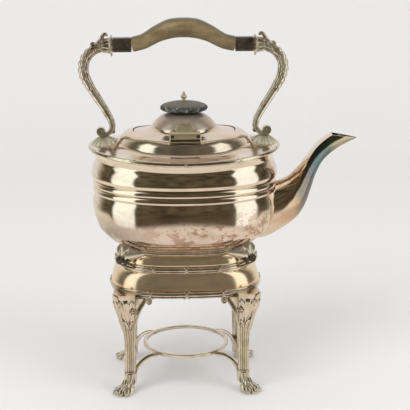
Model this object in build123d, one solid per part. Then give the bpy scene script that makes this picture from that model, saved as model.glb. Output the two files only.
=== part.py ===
from build123d import *
from math import atan2, copysign, cos, degrees, hypot, pi, radians, sin
import os

# Spirit kettle on its stand, in millimetres. The origin is on the table, below the centre
# of the burner ring. +X points along the spout, -Y is the side of the lid hinge, +Z is up.

# ---- sheet metal, fits and gaps ----
wall = 1.1
solder_gap = 0.05
running_clearance = 0.05
hook_clearance = 0.1
press_gap = 0.01
oval_points = 20

# ---- stand ----
border_half_x = 72.5
border_half_y = 53.5
border_power = 2.8
border_bottom = 97.0
border_height = 7.4
border_width = 6.0
apron_top = 120.6
apron_top_inset = 10.0
apron_top_inset_y = 5.3
reed_ring_height = 6.2
reed_ring_bulge = 1.7
collar_height = 10.1
collar_width = 2.4
collar_inset = 3.4

leg_inset_x = 18.5
leg_inset_y = 13.1
leg_wall = 4.4
leg_shelf = 6.0
leg_leaf_rise = 4.6
ankle_height = 19.0
ankle_collar_height = 3.2
ankle_collar_radius = 6.4
scroll_reach = 21.5
scroll_reach_y = 15.0
scroll_eye_radius = 2.9
scroll_thickness = 4.2
spandrel_drop = 15.0

toe_radius = 3.7
toe_flat = 0.5
toe_reach = 9.5
toe_angles = (-52, -17, 17, 52)

ring_radius = 40.0
ring_wire = 3.2
ring_height = 35.0
ring_edge = 0.6
strut_radius = 1.9
strut_bend = 20.0
strut_foot_inset_x = 3.8
strut_foot_inset_y = 2.4
strut_foot_height = 8.0
strut_drop = 1.6
strut_heading = 20.0

# ---- kettle body ----
foot_lift = 0.4
foot_height = 6.0
foot_inset_x = 1.3
foot_inset_y = 1.0
foot_power = 2.7
foot_width = 4.0
body_power = 2.1
bowl_height = 46.5
girdle_half_x = 84.6
girdle_half_y = 64.4
girdle_reed_height = 6.3
girdle_bulge = 2.3
neck_height = 26.3
rim_out_x = 4.4
rim_out_y = 3.8
rim_height = 3.8
rim_bulge = 1.5
rim_width = 2.0

# ---- mouth and lid ----
collar_rise = 17.4
dome_height = 18.2
mouth_half_x = 48.2
mouth_half_y = 39.8
mouth_power = 2.1
lid_side_gap = 0.6
lid_seat_width = 3.4
lid_seat_height = 1.4
lid_seat_depth = 1.8
bezel_depth = 7.0
bezel_gap = 1.2
bezel_wall = 1.0

hinge_out = 3.6
hinge_rise = 2.9
hinge_half_width = 14.0
knuckle_radius = 2.5
knuckle_length = 3.6
knuckle_gap = 0.15
hinge_pin_radius = 1.2
leaf_thickness = 1.6
leaf_arch_radius = 8.5
leaf_arch_height = 7.0

# ---- finial ----
finial_half_x = 22.3
finial_half_y = 18.6
finial_washer_height = 0.9
stud_radius = 1.5
urn_height = 8.8
nut_radius = 4.2
nut_height = 2.6

# ---- spout ----
spout_wall = 1.1
spout_power = 2.3

# ---- handle ----
handle_end_x = 65.4
insulator_inner_x = 47.9
insulator_half_y = 6.6
handle_rise = 80.6
handle_joint_gap = 0.1
flange_thickness = 3.2
flange_half_z = 10.2
flange_half_y = 7.6
volute_inset = 11.2
volute_rise = 18.7
volute_radius = 4.8
volute_half_width = 4.6
shell_plate_offset = 3.8
shell_plate_half_x = 11.6
shell_plate_half_y = 15.0
handle_pin_radius = 1.2
handle_pin_offset = 3.5

# ---- lugs, trunnions and hooks that carry the kettle ----
pin_inset_x = 0.5
pin_drop = 10.9
pin_radius = 1.8
pin_head_radius = 3.0
pin_head_length = 1.8
hook_inset_y = 7.2
hook_thickness = 3.0
hook_gap = 0.3
hook_wall = 2.0
lug_cheek = 2.8
lug_eye_radius = 4.0
lug_fan_proud = 0.8
rosette_offset = 5.2
rosette_radius = 4.5
rosette_boss_radius = 2.4
rosette_boss = 1.2


# ---------------------------------------------------------------- shared shapes

def oval_wire(half_x, half_y, power, height, centre=(0.0, 0.0)):
    """A closed superellipse at one height."""
    points = []
    for step in range(oval_points):
        angle = 2 * pi * step / oval_points
        across = copysign(half_x * abs(cos(angle)) ** (2 / power), cos(angle))
        along = copysign(half_y * abs(sin(angle)) ** (2 / power), sin(angle))
        points.append((centre[0] + across, centre[1] + along, height))
    return Wire([Spline(*points, periodic=True)])


def oval_solid(stations, centre=(0.0, 0.0), ruled=False):
    """A closed solid through (half_x, half_y, power, height) stations."""
    return Solid.make_loft([oval_wire(*station, centre) for station in stations], ruled)


def shifted(stations, distance):
    """The stations moved along the profile's normal, outwards for a positive distance."""
    moved = []
    last = len(stations) - 1
    for index, (half_x, half_y, power, height) in enumerate(stations):
        before = stations[max(index - 1, 0)]
        after = stations[min(index + 1, last)]
        run = after[0] - before[0]
        rise = after[3] - before[3]
        length = hypot(run, rise)
        out = distance * rise / length
        up = -distance * run / length
        moved.append((half_x + out, half_y + out, power, height + up))
    return moved


def oval_prism(half_x, half_y, power, bottom, top):
    return oval_solid([(half_x, half_y, power, bottom), (half_x, half_y, power, top)], ruled=True)


def reed(half_x, half_y, power, bottom, height, bulge, thickness):
    """A half-round moulding that stands out from an oval wall."""
    steps = 8
    stations = []
    for step in range(steps + 1):
        angle = pi * step / steps
        out = bulge * sin(angle)
        up = height * (1 - cos(angle)) / 2
        stations.append((half_x + out, half_y + out, power, bottom + up))
    core = oval_prism(half_x - thickness, half_y - thickness, power, bottom - 1, bottom + height + 1)
    return oval_solid(stations) - core


def cylinder_y(radius, x, z, y_start, y_end):
    """A cylinder along Y between two depths."""
    length = abs(y_end - y_start)
    place = Location((x, (y_start + y_end) / 2, z), (90, 0, 0))
    return place * Cylinder(radius, length)


def cylinder_x(radius, y, z, x_start, x_end):
    """A cylinder along X between two places."""
    length = abs(x_end - x_start)
    place = Location(((x_start + x_end) / 2, y, z), (0, 90, 0))
    return place * Cylinder(radius, length)


def block(x_range, y_range, z_range):
    size = [high - low for low, high in (x_range, y_range, z_range)]
    middle = [(high + low) / 2 for low, high in (x_range, y_range, z_range)]
    return Location(tuple(middle)) * Box(*size)


def plate_xz(outline, y_start, y_end):
    """A flat plate whose outline is drawn in X and Z."""
    face = make_face(Polyline(*[(x, 0, z) for x, z in outline], close=True))
    plate = extrude(face, amount=y_end - y_start, dir=(0, 1, 0))
    return Location((0, y_start, 0)) * plate


corners = {
    "front_left": (-1, -1),
    "front_right": (1, -1),
    "back_left": (-1, 1),
    "back_right": (1, 1),
}


def largest(shape):
    """The biggest solid that a cut leaves."""
    return shape.solids().sort_by(SortBy.VOLUME)[-1]


def mirrored(shape, side_x, side_y):
    """A shape made in the +X +Y corner, turned into another corner."""
    if side_x < 0:
        shape = mirror(shape, Plane.YZ)
    if side_y < 0:
        shape = mirror(shape, Plane.XZ)
    return shape


# ---------------------------------------------------------------- stand

border_top = border_bottom + border_height
collar_base_x = border_half_x - apron_top_inset
collar_base_y = border_half_y - apron_top_inset_y
reed_ring_top = apron_top + reed_ring_height
collar_top = reed_ring_top + collar_height
leg_spread_x = border_half_x - leg_inset_x
leg_spread_y = border_half_y - leg_inset_y
strut_foot_x = leg_spread_x - strut_foot_inset_x
strut_foot_y = leg_spread_y - strut_foot_inset_y


def stand_border():
    """The reeded wire round the bottom of the apron."""
    half = border_height / 2
    outer = [
        (border_half_x - 2.4, border_half_y - 2.4, border_power, border_bottom),
        (border_half_x - 0.5, border_half_y - 0.5, border_power, border_bottom + 0.3 * half),
        (border_half_x, border_half_y, border_power, border_bottom + half),
        (border_half_x - 0.5, border_half_y - 0.5, border_power, border_top - 0.3 * half),
        (border_half_x - 2.0, border_half_y - 2.0, border_power, border_top),
    ]
    inner = oval_prism(border_half_x - border_width, border_half_y - border_width, border_power,
                       border_bottom - 1, border_top + 1)
    return oval_solid(outer) - inner


def apron_stations():
    rise = apron_top - border_top - 2 * solder_gap
    bottom_x = border_half_x - 1.4
    bottom_y = border_half_y - 1.4
    stations = []
    steps = 6
    for step in range(steps + 1):
        angle = radians(5 + 65 * step / steps)
        share = (cos(radians(5)) - cos(angle)) / (cos(radians(5)) - cos(radians(70)))
        up = (sin(angle) - sin(radians(5))) / (sin(radians(70)) - sin(radians(5)))
        stations.append((bottom_x + (collar_base_x - bottom_x) * share,
                         bottom_y + (collar_base_y - bottom_y) * share,
                         border_power, border_top + solder_gap + rise * up))
    return stations


def stand_apron():
    """The raised band between the border and the reeded ring."""
    outer = apron_stations()
    inner = shifted(outer, -wall)
    inner[0] = (inner[0][0], inner[0][1], border_power, border_top - 0.5)
    inner[-1] = (inner[-1][0], inner[-1][1], border_power, apron_top + 0.5)
    return oval_solid(outer) - oval_solid(inner)


def stand_reed_ring():
    return reed(collar_base_x, collar_base_y, border_power, apron_top, reed_ring_height,
                reed_ring_bulge, wall + 0.9)


def stand_collar():
    """The stepped gallery that the kettle's foot stands over."""
    top = collar_top
    height = collar_height
    outer = [
        (collar_base_x - 0.4, collar_base_y - 0.4, border_power, reed_ring_top + solder_gap),
        (collar_base_x, collar_base_y, border_power, reed_ring_top + 0.2 * height),
        (collar_base_x - 0.7, collar_base_y - 0.7, border_power, reed_ring_top + 0.55 * height),
        (collar_base_x - 2.0, collar_base_y - 2.0, border_power, reed_ring_top + 0.85 * height),
        (collar_base_x - collar_inset, collar_base_y - collar_inset, border_power, top),
    ]
    core_inset = collar_inset + collar_width
    core = oval_prism(collar_base_x - core_inset, collar_base_y - core_inset, border_power, reed_ring_top - 1,
                      top + 1)
    return oval_solid(outer) - core


leg_stations = [
    (0.0, 5.3, ankle_height + ankle_collar_height),
    (-0.3, 5.5, 45.0),
    (-0.3, 6.4, 60.0),
    (1.0, 8.3, 75.0),
    (2.4, 10.0, 88.0),
    (3.6, 11.2, border_bottom + leg_leaf_rise),
]


def leg_column(inset=0.0, top_drop=0.0, bottom_drop=0.0):
    """The leg's post, or the hollow behind it when it is inset."""
    wires = []
    last = len(leg_stations) - 1
    for index, (out, half, height) in enumerate(leg_stations):
        level = height - (top_drop if index == last else 0) - (bottom_drop if index == 0 else 0)
        centre = (leg_spread_x + out - inset, leg_spread_y + 0.75 * out - inset)
        wires.append(oval_wire(half, half, 3.2, level, centre))
    return Solid.make_loft(wires)


def scroll_outline(root, reach):
    """A bracket from the leg to its eye, in (distance, height)."""
    top = border_bottom - solder_gap
    tip = root - reach
    outline = [(root, top), (root, top - spandrel_drop)]
    steps = 7
    for step in range(1, steps + 1):
        angle = radians(90 * step / steps)
        outline.append((tip + (root - tip) * (1 - sin(angle)),
                        top - 1.5 - (spandrel_drop - 1.5) * (1 - sin(angle)) ** 0.5 * cos(angle) ** 0.3))
    outline.append((tip, top))
    return outline


def leg():
    """A corner leg with its two scrolled brackets, in the +X +Y corner."""
    hollow = leg_column(leg_wall, leg_leaf_rise + leg_shelf, 2.0)
    border_block = oval_prism(border_half_x + solder_gap, border_half_y + solder_gap, border_power,
                              border_bottom - solder_gap, border_bottom + 20)
    post = leg_column() - hollow - border_block
    root_x = leg_spread_x - 4.0
    root_y = leg_spread_y - 5.0
    band_y = border_half_y - border_width
    front = plate_xz(scroll_outline(root_x, scroll_reach - 4.0), band_y - scroll_thickness / 2,
                     band_y + scroll_thickness / 2)
    eye_z = border_bottom - scroll_eye_radius - 0.1
    front_eye = cylinder_y(scroll_eye_radius, root_x - scroll_reach + 4.5, eye_z,
                           band_y - scroll_thickness / 2, band_y + scroll_thickness / 2)
    band_x = border_half_x - border_width - 1.0
    side = plate_xz(scroll_outline(root_y, scroll_reach_y - 4.0), 0, scroll_thickness)
    side = Location((band_x + scroll_thickness / 2, 0, 0), (0, 0, 90)) * side
    side_eye = cylinder_x(scroll_eye_radius, root_y - scroll_reach_y + 4.5, eye_z,
                          band_x - scroll_thickness / 2, band_x + scroll_thickness / 2)
    return post + front + front_eye + side + side_eye


def paw():
    """A lion's paw with its ankle collar, in the +X +Y corner."""
    away = Vector(leg_spread_x, leg_spread_y, 0).normalized()
    levels = [(0.0, 4.9, ankle_height + 1.0), (0.6, 5.0, 13.0), (2.6, 5.8, 8.0), (4.6, 7.0, 4.0),
              (5.4, 7.6, 0.0)]
    wires = [oval_wire(half, half, 2.4, height, (leg_spread_x + out * away.X, leg_spread_y + out * away.Y))
             for out, half, height in levels]
    foot = Solid.make_loft(wires)
    cuff_height = ankle_collar_height - solder_gap
    cuff = Location((leg_spread_x, leg_spread_y, ankle_height + cuff_height / 2)) * \
        Cylinder(ankle_collar_radius, cuff_height)
    foot = foot + fillet(cuff.edges().filter_by(GeomType.CIRCLE), cuff_height * 0.3)
    heading = degrees(atan2(away.Y, away.X))
    for turn in toe_angles:
        angle = radians(heading + turn)
        seam_turn = (0, 0, heading + turn + 180)
        reach = toe_reach if abs(turn) < 30 else toe_reach - 1.6
        centre_x = leg_spread_x + 5.4 * away.X + reach * cos(angle)
        centre_y = leg_spread_y + 5.4 * away.Y + reach * sin(angle)
        toe = Location((centre_x, centre_y, toe_radius - toe_flat), seam_turn) * Sphere(toe_radius)
        below = block((centre_x - 9, centre_x + 9), (centre_y - 9, centre_y + 9), (-9, 0))
        foot = foot + (toe - below)
    return foot


def strut(paw_shape):
    """A bent rod from the inside of a paw up to the burner ring."""
    heading = Vector(-cos(radians(strut_heading)), -sin(radians(strut_heading)), 0)
    plane = Plane(origin=(strut_foot_x, strut_foot_y, 0), x_dir=heading, z_dir=heading.cross(Vector(0, 0, 1)))
    top = ring_height - strut_drop
    along = -(strut_foot_x * heading.X + strut_foot_y * heading.Y)
    aside = strut_foot_x * heading.Y - strut_foot_y * heading.X
    reach = along - (ring_radius ** 2 - aside ** 2) ** 0.5
    rise = Line((0, strut_foot_height), (0, top - strut_bend))
    bend = JernArc(start=rise @ 1, tangent=(0, 1), radius=strut_bend, arc_size=-90)
    level = Line(bend @ 1, (reach + 0.4 * ring_wire, top))
    path = plane * Wire([rise, bend, level])
    section = Plane(origin=path @ 0, z_dir=path % 0) * Circle(strut_radius)
    ring_core = Location((0, 0, ring_height)) * Cylinder(ring_radius + ring_wire / 2 + solder_gap, 20)
    return sweep(section, path=path) - ring_core - paw_shape


def burner_ring():
    inside = Cylinder(ring_radius - ring_wire / 2, ring_wire + 2)
    tube = Cylinder(ring_radius + ring_wire / 2, ring_wire) - inside
    rounded = fillet(tube.edges().filter_by(GeomType.CIRCLE), ring_edge)
    return Location((0, 0, ring_height)) * rounded


# ---------------------------------------------------------------- kettle body

def between(low, high, share):
    return low + (high - low) * share


def oval_run(start, end, shares):
    """Stations between two ovals: how far out, how square and how far up each lies."""
    (start_x, start_y, start_z), (end_x, end_y, end_z) = start, end
    return [(between(start_x, end_x, out), between(start_y, end_y, out), power, between(start_z, end_z, up))
            for out, power, up in shares]


foot_top = collar_top + foot_lift + foot_height
foot_half_x = collar_base_x - foot_inset_x
foot_half_y = collar_base_y - foot_inset_y
bowl_start = (foot_half_x + 0.8, foot_half_y + 0.8, foot_top)
girdle_bottom = foot_top + bowl_height
girdle_top = girdle_bottom + 2 * girdle_reed_height
bowl_stations = oval_run(bowl_start, (girdle_half_x + 0.6, girdle_half_y + 0.5, girdle_bottom), [
    (0.0, foot_power, 0.0),
    (0.20, 2.6, 0.024),
    (0.365, 2.5, 0.067),
    (0.565, 2.4, 0.144),
    (0.785, 2.3, 0.252),
    (0.92, 2.2, 0.37),
    (1.028, 2.15, 0.531),
    (1.092, body_power, 0.725),
    (1.084, body_power, 0.875),
    (1.0, body_power, 1.0),
])
rim_bottom = girdle_top + neck_height
rim_half_x = girdle_half_x + rim_out_x
rim_half_y = girdle_half_y + rim_out_y
upper_start = (girdle_half_x + 0.4, girdle_half_y + 0.4, girdle_top + solder_gap)
upper_stations = oval_run(upper_start, (rim_half_x - 1.0, rim_half_y - 0.9, rim_bottom), [
    (0.0, body_power, 0.0),
    (0.72, body_power, 0.083),
    (1.02, body_power, 0.231),
    (0.57, body_power, 0.441),
    (-0.28, body_power, 0.631),
    (-0.32, body_power, 0.745),
    (0.38, body_power, 0.897),
    (1.0, body_power, 1.0),
])
shoulder_edge_x = rim_half_x - rim_width - 2 * solder_gap
shoulder_edge_y = rim_half_y - rim_width - 2 * solder_gap
mouth_top = rim_bottom + collar_rise
lip_end = (mouth_half_x + 1.8, mouth_half_y + 1.4, mouth_top)
shoulder_stations = oval_run((shoulder_edge_x, shoulder_edge_y, rim_bottom + 2.5), lip_end, [
    (0.0, body_power, 0.0),
    (0.008, body_power, 0.08),
    (0.08, body_power, 0.107),
    (0.297, body_power, 0.134),
    (0.475, body_power, 0.181),
    (0.582, body_power, 0.282),
    (0.668, body_power, 0.483),
    (0.752, body_power, 0.698),
    (0.848, body_power, 0.879),
    (0.931, body_power, 0.966),
    (1.0, body_power, 1.0),
])


def kettle_bowl(spout_core):
    """The raised bowl below the girdle, with its flat bottom."""
    outer = oval_solid(bowl_stations)
    inner = shifted(bowl_stations, -wall)
    inner[0] = (bowl_stations[0][0] - wall, bowl_stations[0][1] - wall, foot_power, foot_top + wall)
    inner[1] = (inner[1][0], inner[1][1], inner[1][2], foot_top + 2 * wall)
    inner[-1] = (inner[-1][0], inner[-1][1], body_power, girdle_bottom + 0.5)
    return outer - oval_solid(inner) - spout_core


def kettle_upper_wall():
    inner = shifted(upper_stations, -wall)
    inner[0] = (inner[0][0], inner[0][1], body_power, girdle_top - 0.5)
    inner[-1] = (inner[-1][0], inner[-1][1], body_power, rim_bottom + 0.5)
    return oval_solid(upper_stations) - oval_solid(inner)


def kettle_shoulder():
    """The deck and the raised collar round the mouth."""
    inner = shifted(shoulder_stations, -wall)
    inner[0] = (inner[0][0], inner[0][1], body_power, shoulder_stations[0][3] - 0.5)
    mouth = oval_prism(mouth_half_x, mouth_half_y, mouth_power, mouth_top - 5, mouth_top + 1)
    return oval_solid(shoulder_stations) - oval_solid(inner) - mouth


def kettle_foot():
    """The reeded foot ring under the bowl."""
    bottom = foot_top - foot_height - solder_gap
    return reed(foot_half_x - 1.2, foot_half_y - 1.2, foot_power, bottom, foot_height, 1.2, foot_width - 1.2)


def rim_border():
    """The half-round rim between the wall and the deck."""
    return reed(rim_half_x, rim_half_y, body_power, rim_bottom + solder_gap, rim_height, rim_bulge, rim_width)


def girdle_reed(level, spout_block):
    """One of the two broad convex bands of the girdle."""
    bottom = girdle_bottom + level * girdle_reed_height + solder_gap
    ring = reed(girdle_half_x, girdle_half_y, body_power, bottom, girdle_reed_height - solder_gap,
                girdle_bulge, wall)
    return ring - spout_block


# ---------------------------------------------------------------- spout

# Each station: upper point, lower point and half width, out from the girdle's end and up
# from the foot's top.
spout_runs = [
    ((-18.6, 44.7), (-22.6, -1.3), 20.0),
    ((-4.6, 51.7), (-9.6, -2.3), 19.5),
    ((7.4, 55.3), (7.4, 5.7), 17.0),
    ((14.9, 59.1), (22.4, 16.7), 14.5),
    ((20.9, 64.9), (30.9, 29.7), 12.2),
    ((26.4, 71.5), (36.2, 44.7), 10.6),
    ((32.9, 79.7), (40.6, 58.9), 9.4),
    ((39.4, 87.7), (46.4, 71.1), 8.7),
    ((47.4, 94.9), (53.9, 79.3), 8.2),
    ((56.9, 100.3), (61.9, 85.3), 7.4),
    ((67.4, 101.7), (69.9, 89.8), 5.8),
    ((79.0, 98.7), (79.0, 94.3), 2.2),
]


def spout_place(out, up):
    return girdle_half_x + out, foot_top + up


spout_stations = [(spout_place(*upper), spout_place(*lower), width) for upper, lower, width in spout_runs]
spout_mouth_start = spout_place(51.4, 99.3)
spout_mouth_end = spout_place(80.4, 94.9)


def spout_wire(upper, lower, half_width, inset):
    """One closed cross-section, standing across the spout's run."""
    centre = Vector((upper[0] + lower[0]) / 2, 0, (upper[1] + lower[1]) / 2)
    half = hypot(upper[0] - lower[0], upper[1] - lower[1]) / 2
    up = Vector(upper[0] - lower[0], 0, upper[1] - lower[1]).normalized()
    points = []
    for step in range(oval_points):
        angle = 2 * pi * step / oval_points
        rise = copysign((half - inset) * abs(sin(angle)) ** (2 / spout_power), sin(angle))
        side = copysign((half_width - inset) * abs(cos(angle)) ** (2 / spout_power), cos(angle))
        points.append(centre + up * rise + Vector(0, side, 0))
    return Wire([Spline(*points, periodic=True)])


def spout_solid(inset):
    return Solid.make_loft([spout_wire(upper, lower, width, inset * min(1.0, width / 4.0))
                            for upper, lower, width in spout_stations])


def spout(outer, core, body):
    """The spout's tube, cut open along its lip and fitted to the body."""
    start_x, start_z = spout_mouth_start
    end_x, end_z = spout_mouth_end
    above = [(start_x, start_z), (end_x, end_z), (end_x, end_z + 20), (start_x, end_z + 20)]
    cutter = plate_xz(above, -15, 15)
    return outer - core - body - cutter


# ---------------------------------------------------------------- lid and finial

lid_half_x = mouth_half_x - lid_side_gap
lid_half_y = mouth_half_y - lid_side_gap
lid_bottom = mouth_top - lid_seat_depth
lid_top = mouth_top + dome_height
hinge_y = -mouth_half_y - hinge_out
hinge_z = mouth_top + hinge_rise
lid_edge = [
    (lid_half_x, lid_half_y, mouth_power, lid_bottom),
    (lid_half_x - 0.3, lid_half_y - 0.3, mouth_power, lid_bottom + 1.0),
]
lid_stations = lid_edge + oval_run((lid_half_x, lid_half_y, mouth_top), (0, 0, lid_top), [
    (0.075, mouth_power, 0.0),
    (0.19, mouth_power, 0.06),
    (0.283, 2.05, 0.137),
    (0.337, 2.0, 0.269),
    (0.375, 2.0, 0.412),
    (0.435, 2.0, 0.588),
    (0.521, 2.0, 0.78),
    (0.62, 2.0, 0.918),
    (0.767, 2.0, 1.0),
])


def lid_shell():
    inner = shifted(lid_stations, -wall)
    inner[0] = (inner[0][0], inner[0][1], mouth_power, lid_bottom - 0.5)
    inner[-1] = (inner[-1][0], inner[-1][1], 2.0, lid_top - wall)
    stud_hole = Location((0, 0, lid_top)) * Cylinder(stud_radius + running_clearance, 4 * wall)
    return oval_solid(lid_stations) - oval_solid(inner) - stud_hole


def lid_seat():
    """The throat under the lip, with the ledge that the lid's edge rests over."""
    ledge_top = lid_bottom - solder_gap
    bottom = ledge_top - lid_seat_height
    top = mouth_top - wall - solder_gap
    outer = oval_prism(mouth_half_x + wall, mouth_half_y + wall, mouth_power, bottom, top)
    throat = oval_prism(mouth_half_x, mouth_half_y, mouth_power, ledge_top, top + 1)
    way = oval_prism(mouth_half_x - lid_seat_width, mouth_half_y - lid_seat_width, mouth_power, bottom - 1,
                     top)
    return outer - throat - way


def lid_bezel():
    """The ring under the lid that drops inside the seat."""
    half_x = mouth_half_x - lid_seat_width - bezel_gap
    half_y = mouth_half_y - lid_seat_width - bezel_gap
    bottom = lid_bottom - bezel_depth
    outer = oval_prism(half_x, half_y, mouth_power, bottom, lid_bottom + 0.4)
    inner = oval_prism(half_x - bezel_wall, half_y - bezel_wall, mouth_power, bottom - 1, lid_bottom + 1)
    return outer - inner


def hinge_outline():
    bottom = mouth_top + 0.5
    outline = [(-hinge_half_width, bottom), (hinge_half_width, bottom), (hinge_half_width, hinge_z + 1.6)]
    steps = 12
    for step in range(steps + 1):
        angle = pi * step / steps
        outline.append((leaf_arch_radius * cos(angle), hinge_z + 1.6 + (leaf_arch_height - 1.6) * sin(angle)))
    outline.append((-hinge_half_width, hinge_z + 1.6))
    return outline


def lid_hinge_leaf():
    """The arched plate on the lid with its long middle knuckle."""
    thick = oval_solid(shifted(lid_stations, leaf_thickness))
    lid_block = oval_solid(shifted(lid_stations, solder_gap))
    sheet = plate_xz(hinge_outline(), -39.6, -18) & (thick - lid_block)
    tongue_half = hinge_half_width - knuckle_length - knuckle_gap
    tongue = block((-tongue_half, tongue_half), (hinge_y, -31.5), (hinge_z - 1.3, hinge_z + 0.9))
    barrel = cylinder_x(knuckle_radius, hinge_y, hinge_z, -tongue_half, tongue_half)
    bore = cylinder_x(hinge_pin_radius + running_clearance, hinge_y, hinge_z, -20, 20)
    return sheet + (tongue - lid_block) + barrel - bore


def hinge_body_leaf():
    """The two end knuckles and their strap on the kettle's collar."""
    shoulder_block = oval_solid(shifted(shoulder_stations, solder_gap))
    barrel = cylinder_x(knuckle_radius, hinge_y, hinge_z, -hinge_half_width, hinge_half_width)
    strap = block((-hinge_half_width, hinge_half_width), (hinge_y - knuckle_radius, hinge_y + 1.2),
                  (hinge_z - 6.5, hinge_z))
    middle_half = hinge_half_width - knuckle_length
    middle = cylinder_x(knuckle_radius + 0.25, hinge_y, hinge_z, -middle_half, middle_half)
    above = block((-middle_half, middle_half), (hinge_y - 6, hinge_y + 6), (hinge_z - 1.4, hinge_z + 6))
    bore = cylinder_x(hinge_pin_radius + press_gap, hinge_y, hinge_z, -20, 20)
    return (barrel + strap) - shoulder_block - middle - above - bore


def hinge_pin():
    return cylinder_x(hinge_pin_radius, hinge_y, hinge_z, -hinge_half_width, hinge_half_width)


washer_bottom = lid_top + solder_gap
disc_bottom = washer_bottom + finial_washer_height + solder_gap
disc_stations = [
    (0.58 * finial_half_x, 0.58 * finial_half_y, 2.0, disc_bottom),
    (0.86 * finial_half_x, 0.86 * finial_half_y, 2.0, disc_bottom + 0.7),
    (0.98 * finial_half_x, 0.98 * finial_half_y, 2.0, disc_bottom + 2.0),
    (finial_half_x, finial_half_y, 2.0, disc_bottom + 3.6),
    (0.94 * finial_half_x, 0.94 * finial_half_y, 2.0, disc_bottom + 5.8),
    (0.74 * finial_half_x, 0.74 * finial_half_y, 2.0, disc_bottom + 8.0),
    (0.42 * finial_half_x, 0.42 * finial_half_y, 2.0, disc_bottom + 9.4),
    (0.16 * finial_half_x, 0.16 * finial_half_y, 2.0, disc_bottom + 9.9),
]
disc_top = disc_stations[-1][3]


def finial_washer():
    plate = oval_prism(0.42 * finial_half_x, 0.42 * finial_half_y, 2.0, washer_bottom,
                       washer_bottom + finial_washer_height)
    return plate - Location((0, 0, washer_bottom)) * Cylinder(stud_radius + running_clearance, 4)


def finial_disc():
    hole = Location((0, 0, disc_bottom + 5)) * Cylinder(stud_radius + running_clearance, 14)
    return largest(oval_solid(disc_stations) - hole)


def finial_urn():
    """The small turned urn with the stud that passes through the disc and the lid."""
    base = disc_top + solder_gap
    height = urn_height
    stud_bottom = lid_top - wall - nut_height - 1.2
    profile = [
        (0, stud_bottom), (stud_radius, stud_bottom), (stud_radius, base), (2.6, base),
        (2.6, base + 0.08 * height), (1.7, base + 0.16 * height), (2.4, base + 0.28 * height),
        (3.1, base + 0.42 * height), (2.9, base + 0.55 * height), (1.6, base + 0.66 * height),
        (1.5, base + 0.74 * height), (1.2, base + 0.88 * height), (0, base + height),
    ]
    face = make_face(Polyline(*[(x, 0, z) for x, z in profile], close=True))
    return revolve(face, Axis.Z, 360)


def finial_nut():
    top = lid_top - wall - solder_gap
    hexagon = extrude(RegularPolygon(nut_radius, 6), nut_height)
    hole = Cylinder(stud_radius + press_gap, 20)
    return Location((0, 0, top - nut_height)) * (hexagon - hole)


# ---------------------------------------------------------------- handle

def tube_wire(x, z, half, half_y, run_x, run_z):
    """A round section standing across a run in the XZ plane."""
    across = Vector(-run_z, 0, run_x).normalized()
    points = []
    count = 16
    for step in range(count):
        angle = 2 * pi * step / count
        points.append(Vector(x, half_y * cos(angle), z) + across * (half * sin(angle)))
    return Wire([Spline(*points, periodic=True)])


volute_x = rim_half_x - volute_inset
volute_z = rim_bottom + volute_rise
handle_axis_z = volute_z + handle_rise

# Middle line of the right-hand arm, from the flange to the volute: how far up it is between
# the volute and the grip, how far it stands outside their straight line, half thickness.
arm_runs = [
    (0.9851, 3.62, 4.6), (0.9752, 10.29, 4.6), (0.9280, 17.91, 4.7), (0.8462, 22.89, 4.8),
    (0.7444, 24.03, 5.0), (0.6352, 21.48, 4.8), (0.5112, 15.14, 4.3), (0.3722, 6.62, 4.0),
    (0.2357, -1.88, 3.7), (0.1191, -8.12, 3.3), (0.0397, -10.11, 2.9), (-0.0099, -8.12, 2.6),
    (-0.0186, -3.63, 2.3),
]
arm_line = [(between(volute_x, handle_end_x, share) + out, between(volute_z, handle_axis_z, share), half)
            for share, out, half in arm_runs]
arm_half_y = 4.0
leaf_half_y = 3.4


def handle_arm():
    """The right-hand scroll arm with its leaf and its volute foot."""
    wires = []
    last = len(arm_line) - 1
    for index, (x, z, half) in enumerate(arm_line):
        before = arm_line[max(index - 1, 0)]
        after = arm_line[min(index + 1, last)]
        wires.append(tube_wire(x, z, half, arm_half_y, after[0] - before[0], after[1] - before[1]))
    stem = Solid.make_loft(wires)
    foot = cylinder_y(volute_radius, volute_x, volute_z, -volute_half_width, volute_half_width)
    leaf_edge = [(5.6, 0.0), (7.2, 6.0), (7.6, 10.6), (9.6, 7.4), (12.8, 4.0), (20.6, -0.6), (20.6, -6.0)]
    outline = [(handle_end_x + out, handle_axis_z + up) for out, up in leaf_edge]
    leaf = plate_xz(outline, -leaf_half_y, leaf_half_y)
    return stem + foot + leaf


def handle_flange():
    start = handle_end_x + handle_joint_gap
    plane = Plane(origin=(start, 0, handle_axis_z - 0.8), z_dir=(1, 0, 0))
    return extrude(plane * Ellipse(flange_half_y, flange_half_z), amount=flange_thickness)


def handle_insulator():
    """The dark block between the grip and the arm, with its cross pin's hole."""
    length = handle_end_x - insulator_inner_x
    sketch = Plane(origin=(insulator_inner_x, 0, handle_axis_z), x_dir=(0, 1, 0), z_dir=(1, 0, 0)) * \
        RectangleRounded(2 * insulator_half_y, 13.6, 3.4)
    body = extrude(sketch, amount=length)
    pin_place = insulator_inner_x + handle_pin_offset
    hole = cylinder_y(handle_pin_radius + press_gap, pin_place, handle_axis_z, -12, 12)
    return body - hole


def handle_pin():
    half = insulator_half_y + 0.4
    return cylinder_y(handle_pin_radius, insulator_inner_x + handle_pin_offset, handle_axis_z, -half, half)


# Middle line of the grip's right half: share of its length, rise over the handle's ends,
# half height and half width.
grip_end = insulator_inner_x - handle_joint_gap
grip_runs = [
    (0.0, 15.4, 9.0, 8.4), (0.251, 14.3, 8.9, 8.4), (0.523, 9.5, 7.4, 8.0), (0.795, 2.2, 7.0, 7.4),
    (1.0, 0.0, 7.0, 6.8),
]
grip_line = [(share * grip_end, handle_axis_z + up, half, half_y) for share, up, half, half_y in grip_runs]


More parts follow.
